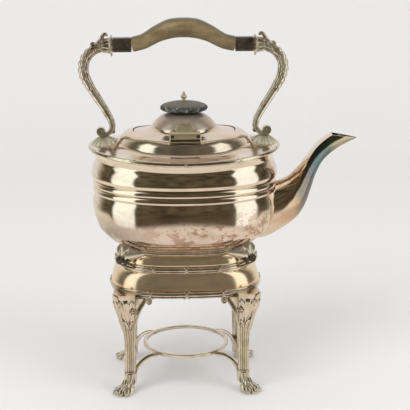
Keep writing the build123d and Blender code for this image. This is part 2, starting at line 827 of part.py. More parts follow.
def handle_grip():
    """The arched grip between the two insulators."""
    right = [(x, z, half, half_y) for x, z, half, half_y in grip_line]
    whole = [(-x, z, half, half_y) for x, z, half, half_y in reversed(right[1:])] + right
    wires = []
    for x, z, half, half_y in whole:
        wire = RectangleRounded(2 * half_y, 2 * half, min(half, half_y) * 0.62).wire()
        place = Plane(origin=(x, 0, z), x_dir=(0, 1, 0), z_dir=(1, 0, 0))
        wires.append(place * wire)
    return Solid.make_loft(wires)


def handle_shell(shoulder_block):
    """The low plate under the right-hand handle foot."""
    top = volute_z - volute_radius - solder_gap
    stations = [
        (shell_plate_half_x, shell_plate_half_y, 2.2, rim_bottom + 3.3),
        (shell_plate_half_x, shell_plate_half_y, 2.2, rim_bottom + 6.3),
        (shell_plate_half_x * 0.88, shell_plate_half_y * 0.86, body_power, rim_bottom + 7.9),
        (shell_plate_half_x * 0.62, shell_plate_half_y * 0.5, 2.0, rim_bottom + 10.3),
        (5.5, 4.0, 2.0, top),
    ]
    return oval_solid(stations, (volute_x - shell_plate_offset, 0)) - shoulder_block


# ---------------------------------------------------------------- lugs, trunnions and hooks

pin_x = collar_base_x - pin_inset_x
pin_z = foot_top - pin_drop
rosette_x = pin_x - rosette_offset
hook_front_y = collar_base_y - hook_inset_y
hook_back_y = hook_front_y - hook_thickness
cheek_front_y = hook_back_y - hook_gap
cheek_back_y = cheek_front_y - lug_cheek


def kettle_lug(bowl_block, bore):
    """A leafy casting under the bowl's corner with the pin's eye, in the +X +Y corner."""
    leaf_edge = [(2.6, -4.7), (3.4, -0.3), (1.4, 6.2), (-8.0, 6.2), (-16.0, 1.7), (-23.5, -1.7),
                 (-23.5, -4.5), (-19.0, -7.3), (-12.0, -6.1), (-5.5, -4.9), (-2.0, -4.5)]
    outline = [(pin_x + out, foot_top + rise) for out, rise in leaf_edge]
    wing_block = oval_solid([
        (foot_half_x + 2.2, foot_half_y + 2.2, foot_power, foot_top - 9.3),
        (foot_half_x + 3.2, foot_half_y + 3.2, foot_power, foot_top - 3.8),
        (foot_half_x + 8.8, foot_half_y + 7.3, 2.6, foot_top + 0.7),
        (foot_half_x + 14.8, foot_half_y + 11.3, 2.4, foot_top + 6.7),
    ])
    wing = plate_xz(outline, cheek_back_y - 2, hook_front_y + 11) & wing_block
    fan_depths = (cheek_back_y - 15, hook_front_y + 19)
    fan_block = block((pin_x - 13, pin_x + 8), fan_depths, (pin_z - 2, pin_z + 28))
    fan = plate_xz(outline, cheek_back_y, hook_front_y + lug_fan_proud) & fan_block
    cheek = plate_xz([(pin_x - 4.0, pin_z), (pin_x + 4.0, pin_z), (pin_x + 3.0, foot_top - 0.3),
                      (pin_x - 5.5, foot_top - 0.3)], cheek_back_y, cheek_front_y)
    eye = cylinder_y(lug_eye_radius, pin_x, pin_z, cheek_back_y, cheek_front_y)
    hole = cylinder_y(bore, pin_x, pin_z, *fan_depths)
    foot_block = oval_prism(foot_half_x + 2 * solder_gap, foot_half_y + 2 * solder_gap, foot_power,
                            foot_top - 13.3, foot_top)
    return wing + fan + cheek + eye - bowl_block - foot_block - hole


def trunnion_pin():
    """A headed pin along Y, in the +X +Y corner."""
    head_start = hook_front_y + hook_gap
    shank = cylinder_y(pin_radius, pin_x, pin_z, cheek_back_y - 0.8, head_start)
    head = cylinder_y(pin_head_radius, pin_x, pin_z, head_start, head_start + pin_head_length)
    return shank + head


def stand_hook(stand_block):
    """The open cradle that rises from the stand's reeded ring, in the +X +Y corner."""
    notch = pin_radius + hook_clearance
    outer = notch + hook_wall
    low = apron_top + 1.0
    root_x = pin_x - 15.5
    arm = plate_xz([(rosette_x, pin_z + 3.0), (rosette_x - 8.0, pin_z - 4.0), (root_x, reed_ring_top + 2.0),
                    (root_x, low), (pin_x - 4.0, low), (pin_x + outer * 0.7, pin_z - outer * 0.7),
                    (pin_x + outer, pin_z), (pin_x + outer, pin_z + 2.0), (pin_x - 2, pin_z + 2.0)],
                   hook_back_y, hook_front_y)
    rosette = cylinder_y(rosette_radius, rosette_x, pin_z - 0.3, hook_back_y, hook_front_y)
    boss_front = hook_front_y + rosette_boss
    boss = cylinder_y(rosette_boss_radius, rosette_x - 0.8, pin_z - 0.3, hook_back_y, boss_front)
    slot = block((pin_x - notch, pin_x + notch), (hook_back_y - 1, hook_front_y + 2), (pin_z, pin_z + 10))
    seat = cylinder_y(notch, pin_x, pin_z, hook_back_y - 1, hook_front_y + 2)
    return arm + rosette + boss - slot - seat - stand_block


# ---------------------------------------------------------------- building and writing

def export(shape, name):
    export_step(shape, os.path.join("parts", name + ".step"))


def build_stand():
    export(stand_border(), "stand_border")
    export(stand_apron(), "stand_apron")
    export(stand_reed_ring(), "stand_reed_ring")
    export(stand_collar(), "stand_collar")
    export(burner_ring(), "burner_ring")
    paw_shape = paw()
    leg_shape = leg()
    strut_shape = strut(paw_shape)
    gap = 2 * solder_gap
    stand_block = oval_prism(collar_base_x + reed_ring_bulge + gap, collar_base_y + reed_ring_bulge + gap,
                             border_power, apron_top - 10, reed_ring_top)
    stand_block = stand_block + oval_prism(collar_base_x + gap, collar_base_y + gap, border_power,
                                           reed_ring_top - 1, collar_top + 4)
    hook_shape = stand_hook(stand_block)
    for corner, (side_x, side_y) in corners.items():
        export(mirrored(leg_shape, side_x, side_y), "leg_" + corner)
        export(mirrored(paw_shape, side_x, side_y), "paw_" + corner)
        export(mirrored(strut_shape, side_x, side_y), "strut_" + corner)
        export(mirrored(hook_shape, side_x, side_y), "stand_hook_" + corner)


def build_kettle():
    spout_outer = spout_solid(0.0)
    spout_core = spout_solid(spout_wall)
    spout_block = spout_solid(-solder_gap)
    bowl_block = oval_solid(shifted(bowl_stations, solder_gap))
    girdle_block = oval_prism(girdle_half_x + solder_gap, girdle_half_y + solder_gap, body_power,
                              girdle_bottom, girdle_top + 1)
    export(kettle_bowl(spout_core), "kettle_bowl")
    export(kettle_upper_wall(), "kettle_upper_wall")
    export(kettle_shoulder(), "kettle_shoulder")
    export(kettle_foot(), "kettle_foot")
    export(rim_border(), "rim_border")
    export(girdle_reed(0, spout_block), "girdle_reed_lower")
    export(girdle_reed(1, spout_block), "girdle_reed_upper")
    export(spout(spout_outer, spout_core, bowl_block + girdle_block), "spout")
    export(lid_seat(), "lid_seat")
    export(hinge_body_leaf(), "hinge_body_leaf")
    export(hinge_pin(), "hinge_pin")
    for corner, (side_x, side_y) in corners.items():
        bore = pin_radius + (running_clearance if side_x > 0 else press_gap)
        export(mirrored(kettle_lug(bowl_block, bore), side_x, side_y), "kettle_lug_" + corner)
        name = "tilt_pin_" if side_x > 0 else "trunnion_"
        export(mirrored(trunnion_pin(), side_x, side_y), name + corner)


def build_handle():
    shoulder_block = oval_solid(shifted(shoulder_stations, 2 * solder_gap))
    pieces = {
        "handle_arm": handle_arm(),
        "handle_flange": handle_flange(),
        "handle_insulator": handle_insulator(),
        "handle_pin": handle_pin(),
        "handle_shell": handle_shell(shoulder_block),
    }
    for name, shape in pieces.items():
        export(shape, name + "_right")
        export(mirror(shape, Plane.YZ), name + "_left")
    export(handle_grip(), "handle_grip")


def build_lid():
    export(lid_shell(), "lid_shell")
    export(lid_bezel(), "lid_bezel")
    export(lid_hinge_leaf(), "lid_hinge_leaf")
    export(finial_washer(), "finial_washer")
    export(finial_disc(), "finial_disc")
    export(finial_urn(), "finial_urn")
    export(finial_nut(), "finial_nut")


os.makedirs("parts", exist_ok=True)
build_stand()
build_kettle()
build_handle()
build_lid()
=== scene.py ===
from math import atan2, copysign, cos, hypot, pi, radians, sin

import bmesh
import bpy
import numpy as np
from mathutils import Matrix, Vector


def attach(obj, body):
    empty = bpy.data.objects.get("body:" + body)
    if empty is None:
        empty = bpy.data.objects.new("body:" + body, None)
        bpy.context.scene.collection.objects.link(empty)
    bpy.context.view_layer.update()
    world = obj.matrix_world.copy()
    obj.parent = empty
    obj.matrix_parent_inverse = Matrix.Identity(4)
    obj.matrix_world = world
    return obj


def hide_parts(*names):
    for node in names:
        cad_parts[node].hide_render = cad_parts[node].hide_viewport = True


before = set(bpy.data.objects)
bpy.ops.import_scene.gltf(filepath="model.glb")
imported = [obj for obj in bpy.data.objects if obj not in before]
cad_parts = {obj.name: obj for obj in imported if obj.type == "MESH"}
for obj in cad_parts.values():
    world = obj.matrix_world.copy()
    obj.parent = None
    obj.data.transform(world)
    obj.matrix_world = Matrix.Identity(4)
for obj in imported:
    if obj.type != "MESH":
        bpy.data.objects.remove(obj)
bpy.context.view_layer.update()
print("frame loaded:", len(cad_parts), "nodes")

millimetre = 0.001  # shapes are worked out in millimetres, meshes are in metres
link = bpy.context.scene.collection.objects.link

kettle = {
    "wall": 1.1, "around": 176, "perSpan": 7,  # steps round each oval, and between two stations
    # half width, half depth, squareness and height of the ovals, from the bottom up
    "bowl": [
        (62, 48, 2.7, 143.3), (66.8, 51.2, 2.6, 144.4), (70.6, 53.8, 2.5, 146.4), (75.2, 57.4, 2.4, 150),
        (80.2, 61.3, 2.3, 155), (83.3, 63.6, 2.2, 160.5), (85.8, 65.4, 2.15, 168), (87.3, 66.5, 2.1, 177),
        (87.1, 66.4, 2.1, 184), (85.2, 64.9, 2.1, 189.8)],
    "upper": [
        (85, 64.8, 2.1, 202.4), (87.3, 66.4, 2.1, 204.6), (88.2, 67.2, 2.1, 208.5), (86.8, 66, 2.1, 214),
        (84.4, 63.8, 2.1, 219), (84.3, 63.7, 2.1, 222), (86.2, 65.5, 2.1, 226), (88.2, 67.4, 2.1, 229)],
    "shoulder": [
        (88.9, 68.1, 2.1, 231.6), (88.2, 67.6, 2.1, 232.5), (84, 64, 2.1, 232.8), (76, 58.6, 2.1, 233.2),
        (69, 54.6, 2.1, 233.9), (65, 52, 2.1, 235.4), (62, 49.8, 2.1, 238.4), (59, 47.6, 2.1, 241.6),
        (55.5, 45.2, 2.1, 244.3), (52.5, 43, 2.1, 245.6), (50, 41.2, 2.1, 246.1), (48.4, 40, 2.1, 245.9)],
    "bodyPower": 2.1, "footPower": 2.7,
    "girdle": (84.6, 64.4), "girdleBottom": 189.8, "reedHeight": 6.3, "reedBulge": 2.3,
    "rim": (89, 68.2), "rimBottom": 228.7, "rimHeight": 3.8, "rimBulge": 1.5, "rimWidth": 2,
    "foot": (61.2, 47.2), "footBottom": 137.25, "footHeight": 6, "footWidth": 4, "footInset": 1.2,
    "footReeds": [(0, 2.4, 1.2), (2.4, 1.7, 0.8), (4.1, 1.9, 1)],  # height up the foot, height, bulge
}

rise = {"start": 203, "full": 229, "lidStart": 246, "end": 251, "most": 5, "atLid": 3.7, "level": 0.42}


def ovalPoint(angle, halfX, halfY, power):
    c, s = cos(angle), sin(angle)
    reach = (abs(c) ** power + abs(s) ** power) ** (-1 / power)
    return halfX * reach * c, halfY * reach * s


def ovalLoop(halfX, halfY, power, count):
    return [ovalPoint(2 * pi * step / count, halfX, halfY, power) for step in range(count)]


def upsweep(x, halfX, z):
    # The rim, deck and lid edge rise towards the two ends.
    if z < rise["start"] or z > rise["end"]:
        return 0.0
    if z < rise["full"]:
        share = (z - rise["start"]) / (rise["full"] - rise["start"])
        amount = rise["most"] * share * share * (3 - 2 * share)
    elif z < rise["lidStart"]:
        share = (z - rise["full"]) / (rise["lidStart"] - rise["full"])
        amount = rise["most"] - (rise["most"] - rise["atLid"]) * share
    else:
        amount = rise["atLid"] * (rise["end"] - z) / (rise["end"] - rise["lidStart"])
    return amount * ((x / halfX) ** 2 - rise["level"])


def ovalRing(halfX, halfY, power, z, count=kettle["around"]):
    return [Vector((x, y, z + upsweep(x, halfX, z))) for x, y in ovalLoop(halfX, halfY, power, count)]


def smoothed(stations, perSpan):
    # A curve through the stations, the same number of steps between each two.
    last = len(stations) - 1
    rows = [np.array(s, float) for s in stations]
    result = []
    for index in range(last):
        before = rows[max(index - 1, 0)]
        start, end = rows[index], rows[index + 1]
        after = rows[min(index + 2, last)]
        for step in range(perSpan):
            t = step / perSpan
            point = 0.5 * (2 * start + (end - before) * t + (2 * before - 5 * start + 4 * end - after) * t * t
                           + (3 * start - before - 3 * end + after) * t ** 3)
            result.append(tuple(point))
    result.append(tuple(rows[-1]))
    return result


def insetProfile(stations, wall):
    moved = []
    last = len(stations) - 1
    for index, (halfX, halfY, power, z) in enumerate(stations):
        before, after = stations[max(index - 1, 0)], stations[min(index + 1, last)]
        run, climb = after[0] - before[0], after[3] - before[3]
        inwards = wall * climb / hypot(run, climb)
        moved.append((halfX - inwards, halfY - inwards, power, z + wall * run / hypot(run, climb)))
    return moved


def halfRound(bottom, height, bulge, steps=8):
    # How far out and how high, over a half-round moulding.
    angles = [pi * step / steps for step in range(steps + 1)]
    return [(bulge * sin(angle), bottom + height * (1 - cos(angle)) / 2) for angle in angles]


def skin(rings, wrap=False, capped=True):
    # Faces between rings of points, with a fan over each end unless the rings close on themselves.
    count = len(rings[0])
    verts = [p for ring in rings for p in ring]
    faces = []
    spans = len(rings) if wrap else len(rings) - 1
    for row in range(spans):
        low, high = row * count, (row + 1) % len(rings) * count
        for step in range(count):
            after = (step + 1) % count
            faces.append((low + step, low + after, high + after, high + step))
    if capped and not wrap:
        for row, flip in ((0, True), (len(rings) - 1, False)):
            middle = sum(rings[row], Vector()) / count
            verts.append(middle)
            hub = len(verts) - 1
            for step in range(count):
                a, b = row * count + step, row * count + (step + 1) % count
                faces.append((b, a, hub) if flip else (a, b, hub))
    return verts, faces


def joined(*shapes):
    verts, faces = [], []
    for shapeVerts, shapeFaces in shapes:
        offset = len(verts)
        verts.extend(shapeVerts)
        faces.extend(tuple(i + offset for i in face) for face in shapeFaces)
    return verts, faces


def turned(shape, signX, signY):
    # A shape made for the +X +Y corner, mirrored into another corner.
    verts, faces = shape
    verts = [Vector((v.x * signX, v.y * signY, v.z)) for v in verts]
    if signX * signY < 0:
        faces = [tuple(reversed(face)) for face in faces]
    return verts, faces


def markHollows(mesh, rounds=3, gain=3.5):
    # An attribute that nears 1 in grooves and 0 on ridges, for tarnish to follow.
    count = len(mesh.vertices)
    co = np.empty(count * 3)
    mesh.vertices.foreach_get("co", co)
    co = co.reshape(-1, 3)
    normals = np.empty(count * 3, np.float32)
    mesh.vertex_normals.foreach_get("vector", normals)
    normals = normals.reshape(-1, 3)
    edges = np.empty(len(mesh.edges) * 2, int)
    mesh.edges.foreach_get("vertices", edges)
    a, b = edges.reshape(-1, 2).T
    along = co[b] - co[a]
    length = np.linalg.norm(along, axis=1) + 1e-9
    total = np.zeros(count)
    weight = np.zeros(count) + 1e-9
    np.add.at(total, a, (along * normals[a]).sum(1) / length)
    np.add.at(total, b, (-along * normals[b]).sum(1) / length)
    np.add.at(weight, a, 1)
    np.add.at(weight, b, 1)
    hollow = total / weight
    for _ in range(rounds):
        spread = np.zeros(count)
        np.add.at(spread, a, hollow[b])
        np.add.at(spread, b, hollow[a])
        hollow = 0.5 * hollow + 0.5 * spread / weight
    hollow = np.clip(0.5 + hollow * gain, 0, 1)
    layer = mesh.attributes.new("hollow", "FLOAT", "POINT")
    layer.data.foreach_set("value", hollow.astype(np.float32))


def meshOf(name, shape, smooth=True):
    verts, faces = shape
    mesh = bpy.data.meshes.new(name)
    mesh.from_pydata([v * millimetre for v in verts], [], faces)
    mesh.validate()
    work = bmesh.new()
    work.from_mesh(mesh)
    bmesh.ops.recalc_face_normals(work, faces=work.faces)
    work.to_mesh(mesh)
    work.free()
    if smooth:
        mesh.polygons.foreach_set("use_smooth", [True] * len(mesh.polygons))
    return mesh


def makePiece(name, shape, material, body, nodes=(), sharpAngle=38):
    mesh = meshOf(name, shape)
    mesh.set_sharp_from_angle(angle=radians(sharpAngle))
    mesh.update()
    markHollows(mesh)
    piece = bpy.data.objects.new(name, mesh)
    link(piece)
    mesh.materials.append(material)
    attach(piece, body)
    if nodes:
        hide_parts(*nodes)
    return piece


class Value:
    # A shader socket that can be worked with like a number.
    def __init__(self, finish, socket):
        self.finish = finish
        self.socket = socket

    def maths(self, operation, *others, swapped=False):
        terms = [self, *others]
        if swapped:
            terms.reverse()
        return self.finish.node("ShaderNodeMath", {"operation": operation}, dict(enumerate(terms)))

    def __add__(self, other):
        return self.maths("ADD", other)

    def __sub__(self, other):
        return self.maths("SUBTRACT", other)

    def __rsub__(self, other):
        return self.maths("SUBTRACT", other, swapped=True)

    def __mul__(self, other):
        return self.maths("MULTIPLY", other)

    def __truediv__(self, other):
        return self.maths("DIVIDE", other)

    def __rtruediv__(self, other):
        return self.maths("DIVIDE", other, swapped=True)

    def __pow__(self, other):
        return self.maths("POWER", other)

    def __rpow__(self, other):
        return self.maths("POWER", other, swapped=True)

    __radd__ = __add__
    __rmul__ = __mul__

    def clamped(self):
        return self.maths("MINIMUM", 1.0).maths("MAXIMUM", 0.0)

    def between(self, low, high):
        # 0 before low, 1 past high, smooth from one to the other
        settings = {"interpolation_type": "SMOOTHSTEP"}
        inputs = {"Value": self, "From Min": low, "From Max": high}
        return self.finish.node("ShaderNodeMapRange", settings, inputs)


class Finish:
    sockets = {
        "colour": "Base Color", "roughness": "Roughness", "metallic": "Metallic", "normal": "Normal",
        "coat": "Coat Weight", "coatRoughness": "Coat Roughness", "specular": "Specular IOR Level"}

    def __init__(self, name):
        self.material = bpy.data.materials.new(name)
        self.material.use_nodes = True
        self.tree = self.material.node_tree
        self.place = self.node("ShaderNodeTexCoord", out="Object")
        self.x, self.y, self.z = (self.part(self.place, axis) for axis in "XYZ")

    def node(self, kind, settings=None, inputs=None, out=0):
        made = self.tree.nodes.new(kind)
        for key, value in (settings or {}).items():
            setattr(made, key, value)
        for key, value in (inputs or {}).items():
            self.feed(made.inputs[key], value)
        return Value(self, made.outputs[out])

    def feed(self, socket, value):
        if isinstance(value, Value):
            self.tree.links.new(value.socket, socket)
        elif isinstance(value, tuple) and len(value) == 3 and len(socket.default_value) == 4:
            socket.default_value = (*value, 1.0)
        else:
            socket.default_value = value

    def part(self, vector, axis):
        return self.node("ShaderNodeSeparateXYZ", {}, {"Vector": vector}, out=axis)

    def upward(self):
        return self.part(self.node("ShaderNodeNewGeometry", out="Normal"), "Z")

    def noise(self, scale, detail=3.0, roughness=0.5, stretch=None, distortion=0.0):
        where = self.place
        if stretch:
            where = self.node("ShaderNodeMapping", {}, {"Vector": where, "Scale": stretch})
        inputs = {"Vector": where, "Scale": scale, "Detail": detail, "Roughness": roughness,
                  "Distortion": distortion}
        return self.node("ShaderNodeTexNoise", {}, inputs)

    def blend(self, share, low, high):
        return self.node("ShaderNodeMix", {"data_type": "RGBA"}, {0: share, 6: low, 7: high}, out=2)

    def ramp(self, share, *stops):
        made = self.node("ShaderNodeValToRGB", {}, {"Fac": share})
        elements = made.socket.node.color_ramp.elements
        while len(elements) < len(stops):
            elements.new(0.5)
        for element, (position, colour) in zip(elements, stops):
            element.position = position
            element.color = (*colour, 1.0)
        return made

    def bump(self, height, distance, strength=0.35):
        inputs = {"Height": height, "Distance": distance, "Strength": strength}
        return self.node("ShaderNodeBump", {}, inputs)

    def set(self, **inputs):
        shader = self.tree.nodes["Principled BSDF"]
        for key, value in inputs.items():
            self.feed(shader.inputs[self.sockets[key]], value)
        return self.material


tone = {
    "rose": (0.80, 0.655, 0.565), "champagne": (0.84, 0.74, 0.60), "copper": (0.72, 0.36, 0.20),
    "umber": (0.30, 0.20, 0.12), "verdigris": (0.50, 0.55, 0.44), "flake": (0.42, 0.22, 0.13),
    "freckle": (0.50, 0.30, 0.20), "paintedShade": (0.23, 0.19, 0.165), "smoke": (0.45, 0.35, 0.24),
    "straw": (0.84, 0.64, 0.36), "copperEdge": (0.86, 0.50, 0.30), "bloom": (0.52, 0.37, 0.29),
    "pinkFlank": (0.80, 0.60, 0.50), "olive": (0.46, 0.43, 0.30), "palePatina": (0.74, 0.72, 0.58),
    "leafGreen": (0.52, 0.49, 0.35), "brown": (0.24, 0.17, 0.10), "brass": (0.66, 0.56, 0.34),
    "slot": (0.045, 0.028, 0.016), "blackened": (0.10, 0.075, 0.055), "worn": (0.42, 0.36, 0.28),
    "horn": (0.016, 0.012, 0.008), "hornPale": (0.046, 0.036, 0.024), "gripFine": (0.22, 0.16, 0.08),
    "gripTopShade": (0.075, 0.058, 0.034), "discTop": (0.085, 0.072, 0.058), "discTopPale": (0.17, 0.145, 0.115),
}


def silverBase(name, verdigris=0.0, dirt=0.6):
    # Old plate: a rose and champagne drift, brown clouds, fine wiping marks and dirt in the grooves.
    finish = Finish(name)
    drift = finish.noise(9.0, 3.0, 0.5)
    cloud = finish.noise(26.0, 6.0, 0.62, distortion=0.4)
    colour = finish.blend(drift.between(0.38, 0.66), tone["rose"], tone["champagne"])
    colour = finish.blend(cloud.between(0.56, 0.80) * 0.35, colour, tone["copper"])
    groove = finish.node("ShaderNodeAttribute", {"attribute_name": "hollow"}, out="Fac").between(0.54, 0.70)
    colour = finish.blend(groove * dirt, colour, tone["umber"])
    if verdigris:
        pale = groove * finish.noise(160.0, 3.0).between(0.35, 0.65) * verdigris
        colour = finish.blend(pale, colour, tone["verdigris"])
    marks = finish.noise(900.0, 2.0, 0.6, stretch=(1.0, 1.0, 0.08))
    roughness = 0.035 + 0.07 * cloud + 0.05 * marks + 0.22 * groove
    return finish, colour, roughness, groove


def softDents(finish):
    return finish.bump(finish.noise(38.0, 1.0, 0.4), 0.0006)


def bodySilver():
    finish, colour, roughness, groove = silverBase("bodySilver")
    # flaking copper-coloured patches low on the bowl, most of them towards the spout
    low = finish.z.between(0.192, 0.160)
    side = finish.x.between(-0.060, 0.020)
    flakes = finish.noise(95.0, 8.0, 0.75, stretch=(0.7, 1.0, 1.2)).between(0.49, 0.55)
    patch = flakes * low * (0.15 + 0.85 * side)
    colour = finish.blend(patch * 0.85, colour, tone["flake"])
    speck = finish.noise(420.0, 4.0, 0.7).between(0.60, 0.70) * low * 0.6
    colour = finish.blend(speck, colour, tone["freckle"])
    # painted shade: the lower left of the bowl is darkened, broken up by noise
    shade = finish.x.between(-0.020, -0.075) * finish.z.between(0.182, 0.150)
    shade = shade * finish.noise(45.0, 4.0).between(0.25, 0.55)
    colour = finish.blend(shade * 0.85, colour, tone["paintedShade"])
    smoke = finish.noise(55.0, 5.0, 0.65, stretch=(0.6, 1.0, 1.6)).between(0.48, 0.70)
    colour = finish.blend(smoke * 0.35, colour, tone["smoke"])
    height = finish.noise(38.0, 1.0, 0.4) + finish.noise(700.0, 2.0) * 0.02
    return finish.set(colour=colour, metallic=1.0, roughness=(roughness + 0.14 * patch).clamped(),
                      normal=finish.bump(height, 0.0006))


def apronSilver():
    finish, colour, roughness, groove = silverBase("apronSilver")
    colour = finish.blend(0.55, colour, tone["straw"])
    colour = finish.blend(finish.z.between(0.1095, 0.1040) * 0.8, colour, tone["copperEdge"])
    return finish.set(colour=colour, metallic=0.90, roughness=0.16 + 0.25 * groove, normal=softDents(finish))


def lidSilver():
    # Pinkish flanks; the dome is rougher, and a painted dark grey-brown reflection fills the middle of each
    # side.
    finish, colour, roughness, groove = silverBase("lidSilver")
    bloom = finish.noise(34.0, 4.0, 0.6).between(0.35, 0.68)
    colour = finish.blend(bloom * 0.40, colour, tone["bloom"])
    colour = finish.blend(finish.z.between(0.2440, 0.2500) * 0.45, colour, tone["pinkFlank"])
    dome = finish.z.between(0.2500, 0.2530)
    # painted reflection: the middle of each side of the dome is coloured dark grey-brown and made less
    # metallic
    middle = (finish.x * finish.x).between(0.00085, 0.00030) * dome
    paintedDarkReflection = finish.ramp(finish.noise(60.0, 5.0, 0.6), (0.38, (0.22, 0.15, 0.11)), (0.52, (0.27, 0.24, 0.20)),
                       (0.64, (0.40, 0.29, 0.22)))
    colour = finish.blend(middle * 0.75, colour, paintedDarkReflection)
    return finish.set(colour=colour, metallic=(0.96 - 0.30 * middle).clamped(),
                      roughness=(roughness + 0.02 + 0.03 * bloom + 0.20 * dome).clamped(),
                      normal=softDents(finish))


def spoutSilver():
    finish, colour, roughness, groove = silverBase("spoutSilver")
    # heat and sulphur colours: gold and copper near the root, blue and teal towards the tip
    wander = finish.noise(30.0, 4.0, 0.6) * 0.050
    run = (finish.x + wander).between(0.100, 0.175)
    film = finish.ramp(
        run, (0.0, (0.60, 0.42, 0.29)), (0.25, (0.46, 0.31, 0.17)), (0.42, (0.30, 0.23, 0.16)),
        (0.56, (0.13, 0.15, 0.18)), (0.72, (0.075, 0.155, 0.175)), (0.88, (0.13, 0.175, 0.15)),
        (1.0, (0.42, 0.35, 0.24)))
    flank = (1 - finish.upward().between(0.00, 0.45)) * (0.35 + 0.60 * run.between(0.05, 0.5))
    colour = finish.blend(flank, colour, film)
    patch = finish.noise(110.0, 8.0, 0.72).between(0.48, 0.60) * finish.x.between(0.140, 0.080)
    colour = finish.blend(patch * 0.5, colour, tone["copper"])
    height = finish.noise(60.0, 2.0, 0.4) + finish.noise(700.0, 2.0) * 0.02
    return finish.set(colour=colour, metallic=1.0, roughness=(roughness + 0.10 * patch).clamped(),
                      normal=finish.bump(height, 0.0005))


def castSilver():
    finish, colour, roughness, groove = silverBase("castSilver", verdigris=0.6, dirt=0.95)
    colour = finish.blend(0.10 + 0.5 * finish.noise(120.0, 4.0).between(0.35, 0.65), colour, tone["olive"])
    height = finish.noise(260.0, 4.0, 0.6) + finish.noise(1200.0, 2.0) * 0.2
    return finish.set(colour=colour, metallic=(1 - 0.55 * groove).clamped(),
                      roughness=(roughness + 0.08).clamped(), normal=finish.bump(height, 0.0004))


def paleSilver():
    # The cast shells and leaves: mostly pale green tarnish with worn bright ridges.
    finish, colour, roughness, groove = silverBase("paleCastSilver", verdigris=0.9)
    film = finish.noise(70.0, 4.0).between(0.35, 0.65)
    colour = finish.blend(0.30 + 0.30 * film, colour, tone["palePatina"])
    return finish.set(colour=colour, metallic=(0.9 - 0.5 * groove).clamped(),
                      roughness=(roughness + 0.20).clamped(),
                      normal=finish.bump(finish.noise(260.0, 4.0, 0.6), 0.0004))


def armSilver():
    # Rose plate on the arms, with greenish leaf work towards the top.
    finish, colour, roughness, groove = silverBase("armSilver", verdigris=0.8, dirt=1.0)
    leafy = finish.z.between(0.285, 0.300) * finish.noise(150.0, 4.0).between(0.40, 0.60)
    colour = finish.blend(leafy * 0.55, colour, tone["leafGreen"])
    colour = finish.blend(finish.noise(200.0, 4.0).between(0.50, 0.62) * 0.55, colour, tone["brown"])
    return finish.set(colour=colour, metallic=(1.0 - 0.6 * groove - 0.15 * leafy).clamped(),
                      roughness=(roughness + 0.06 + 0.08 * leafy).clamped(),
                      normal=finish.bump(finish.noise(300.0, 4.0, 0.6), 0.0005, 0.4))


def brassSilver():
    finish, colour, roughness, groove = silverBase("brassySilver")
    colour = finish.blend(0.7, colour, tone["brass"])
    return finish.set(colour=colour, metallic=0.80, roughness=(roughness + 0.16).clamped(),
                      normal=finish.bump(finish.noise(260.0, 3.0), 0.0004, 0.3))


def strapSilver():
    # The hinge's body side: two slots of painted shade between bright edges, plain plate below.
    finish, colour, roughness, groove = silverBase("strapSilver")
    # painted shade: a near-black band between the hinge bars stands for the dark inside of the slots
    slotShade = finish.z.between(0.2446, 0.2450) * (1 - finish.z.between(0.2510, 0.2513))
    colour = finish.blend(slotShade, colour, tone["slot"])
    return finish.set(colour=colour, metallic=(1 - 0.75 * slotShade).clamped(),
                      roughness=(roughness + 0.05).clamped())


def darkSilver():
    finish = Finish("darkSilver")
    worn = finish.noise(420.0, 4.0, 0.6).between(0.45, 0.75)
    colour = finish.blend(worn * 0.7, tone["blackened"], tone["worn"])
    return finish.set(colour=colour, metallic=0.8, roughness=0.38)


def hornBlack():
    finish = Finish("hornBlack")
    colour = finish.blend(finish.noise(120.0, 4.0).between(0.3, 0.7), tone["horn"], tone["hornPale"])
    return finish.set(colour=colour, roughness=0.20, coat=0.25, coatRoughness=0.10)


def tanGrip():
    finish = Finish("tanGrip")
    cloud = finish.noise(90.0, 6.0, 0.62, stretch=(0.5, 1.0, 1.0))
    fine = finish.noise(600.0, 4.0, 0.6)
    colour = finish.ramp(cloud, (0.30, (0.115, 0.080, 0.034)), (0.50, (0.205, 0.150, 0.068)),
                         (0.72, (0.35, 0.27, 0.14)))
    colour = finish.blend(fine.between(0.55, 0.75) * 0.4, colour, tone["gripFine"])
    # painted shade: faces that point up are darkened towards a dark brown
    colour = finish.blend(finish.upward().between(0.15, 0.85) * 0.7, colour, tone["gripTopShade"])
    return finish.set(colour=colour, roughness=0.34 + 0.15 * fine, coat=0.25, coatRoughness=0.3,
                      normal=finish.bump(cloud + fine * 0.3, 0.0004, 0.4))


def darkDisc():
    # Smooth and brown on top, crackled and bluish round the edge.
    finish = Finish("darkDisc")
    edge = 1 - ((finish.z - 0.2652) * 100.0).between(0.50, 0.74)
    grain = finish.noise(330.0, 6.0, 0.75)
    fine = finish.noise(900.0, 4.0, 0.6)
    top = finish.blend(fine, tone["discTop"], tone["discTopPale"])
    side = finish.ramp(grain, (0.42, (0.012, 0.017, 0.016)), (0.52, (0.060, 0.072, 0.066)),
                       (0.60, (0.30, 0.30, 0.25)))
    return finish.set(colour=finish.blend(edge, top, side), roughness=0.5 + 0.2 * fine, coat=0.1,
                      coatRoughness=0.3, normal=finish.bump(grain * edge + fine * 0.15, 0.0012, 0.8))


bodyFinish, apronFinish, lidFinish, spoutFinish = bodySilver(), apronSilver(), lidSilver(), spoutSilver()
castFinish, paleCastFinish, darkFinish, brassFinish = castSilver(), paleSilver(), darkSilver(), brassSilver()
armFinish, strapFinish, hornFinish, gripFinish = armSilver(), strapSilver(), hornBlack(), tanGrip()
discFinish = darkDisc()
print("finishes made")


def shellPiece(name, stations, material, body, node):
    # A thin wall that follows the stations, open at both ends or closed to a small hole.
    outer = smoothed(stations, kettle["perSpan"])
    inner = [(max(halfX, 0.6), max(halfY, 0.5), power, z)
             for halfX, halfY, power, z in insetProfile(outer, kettle["wall"])]
    rings = [ovalRing(*station) for station in outer + inner[::-1]]
    return makePiece(name, skin(rings, wrap=True), material, body, [node])


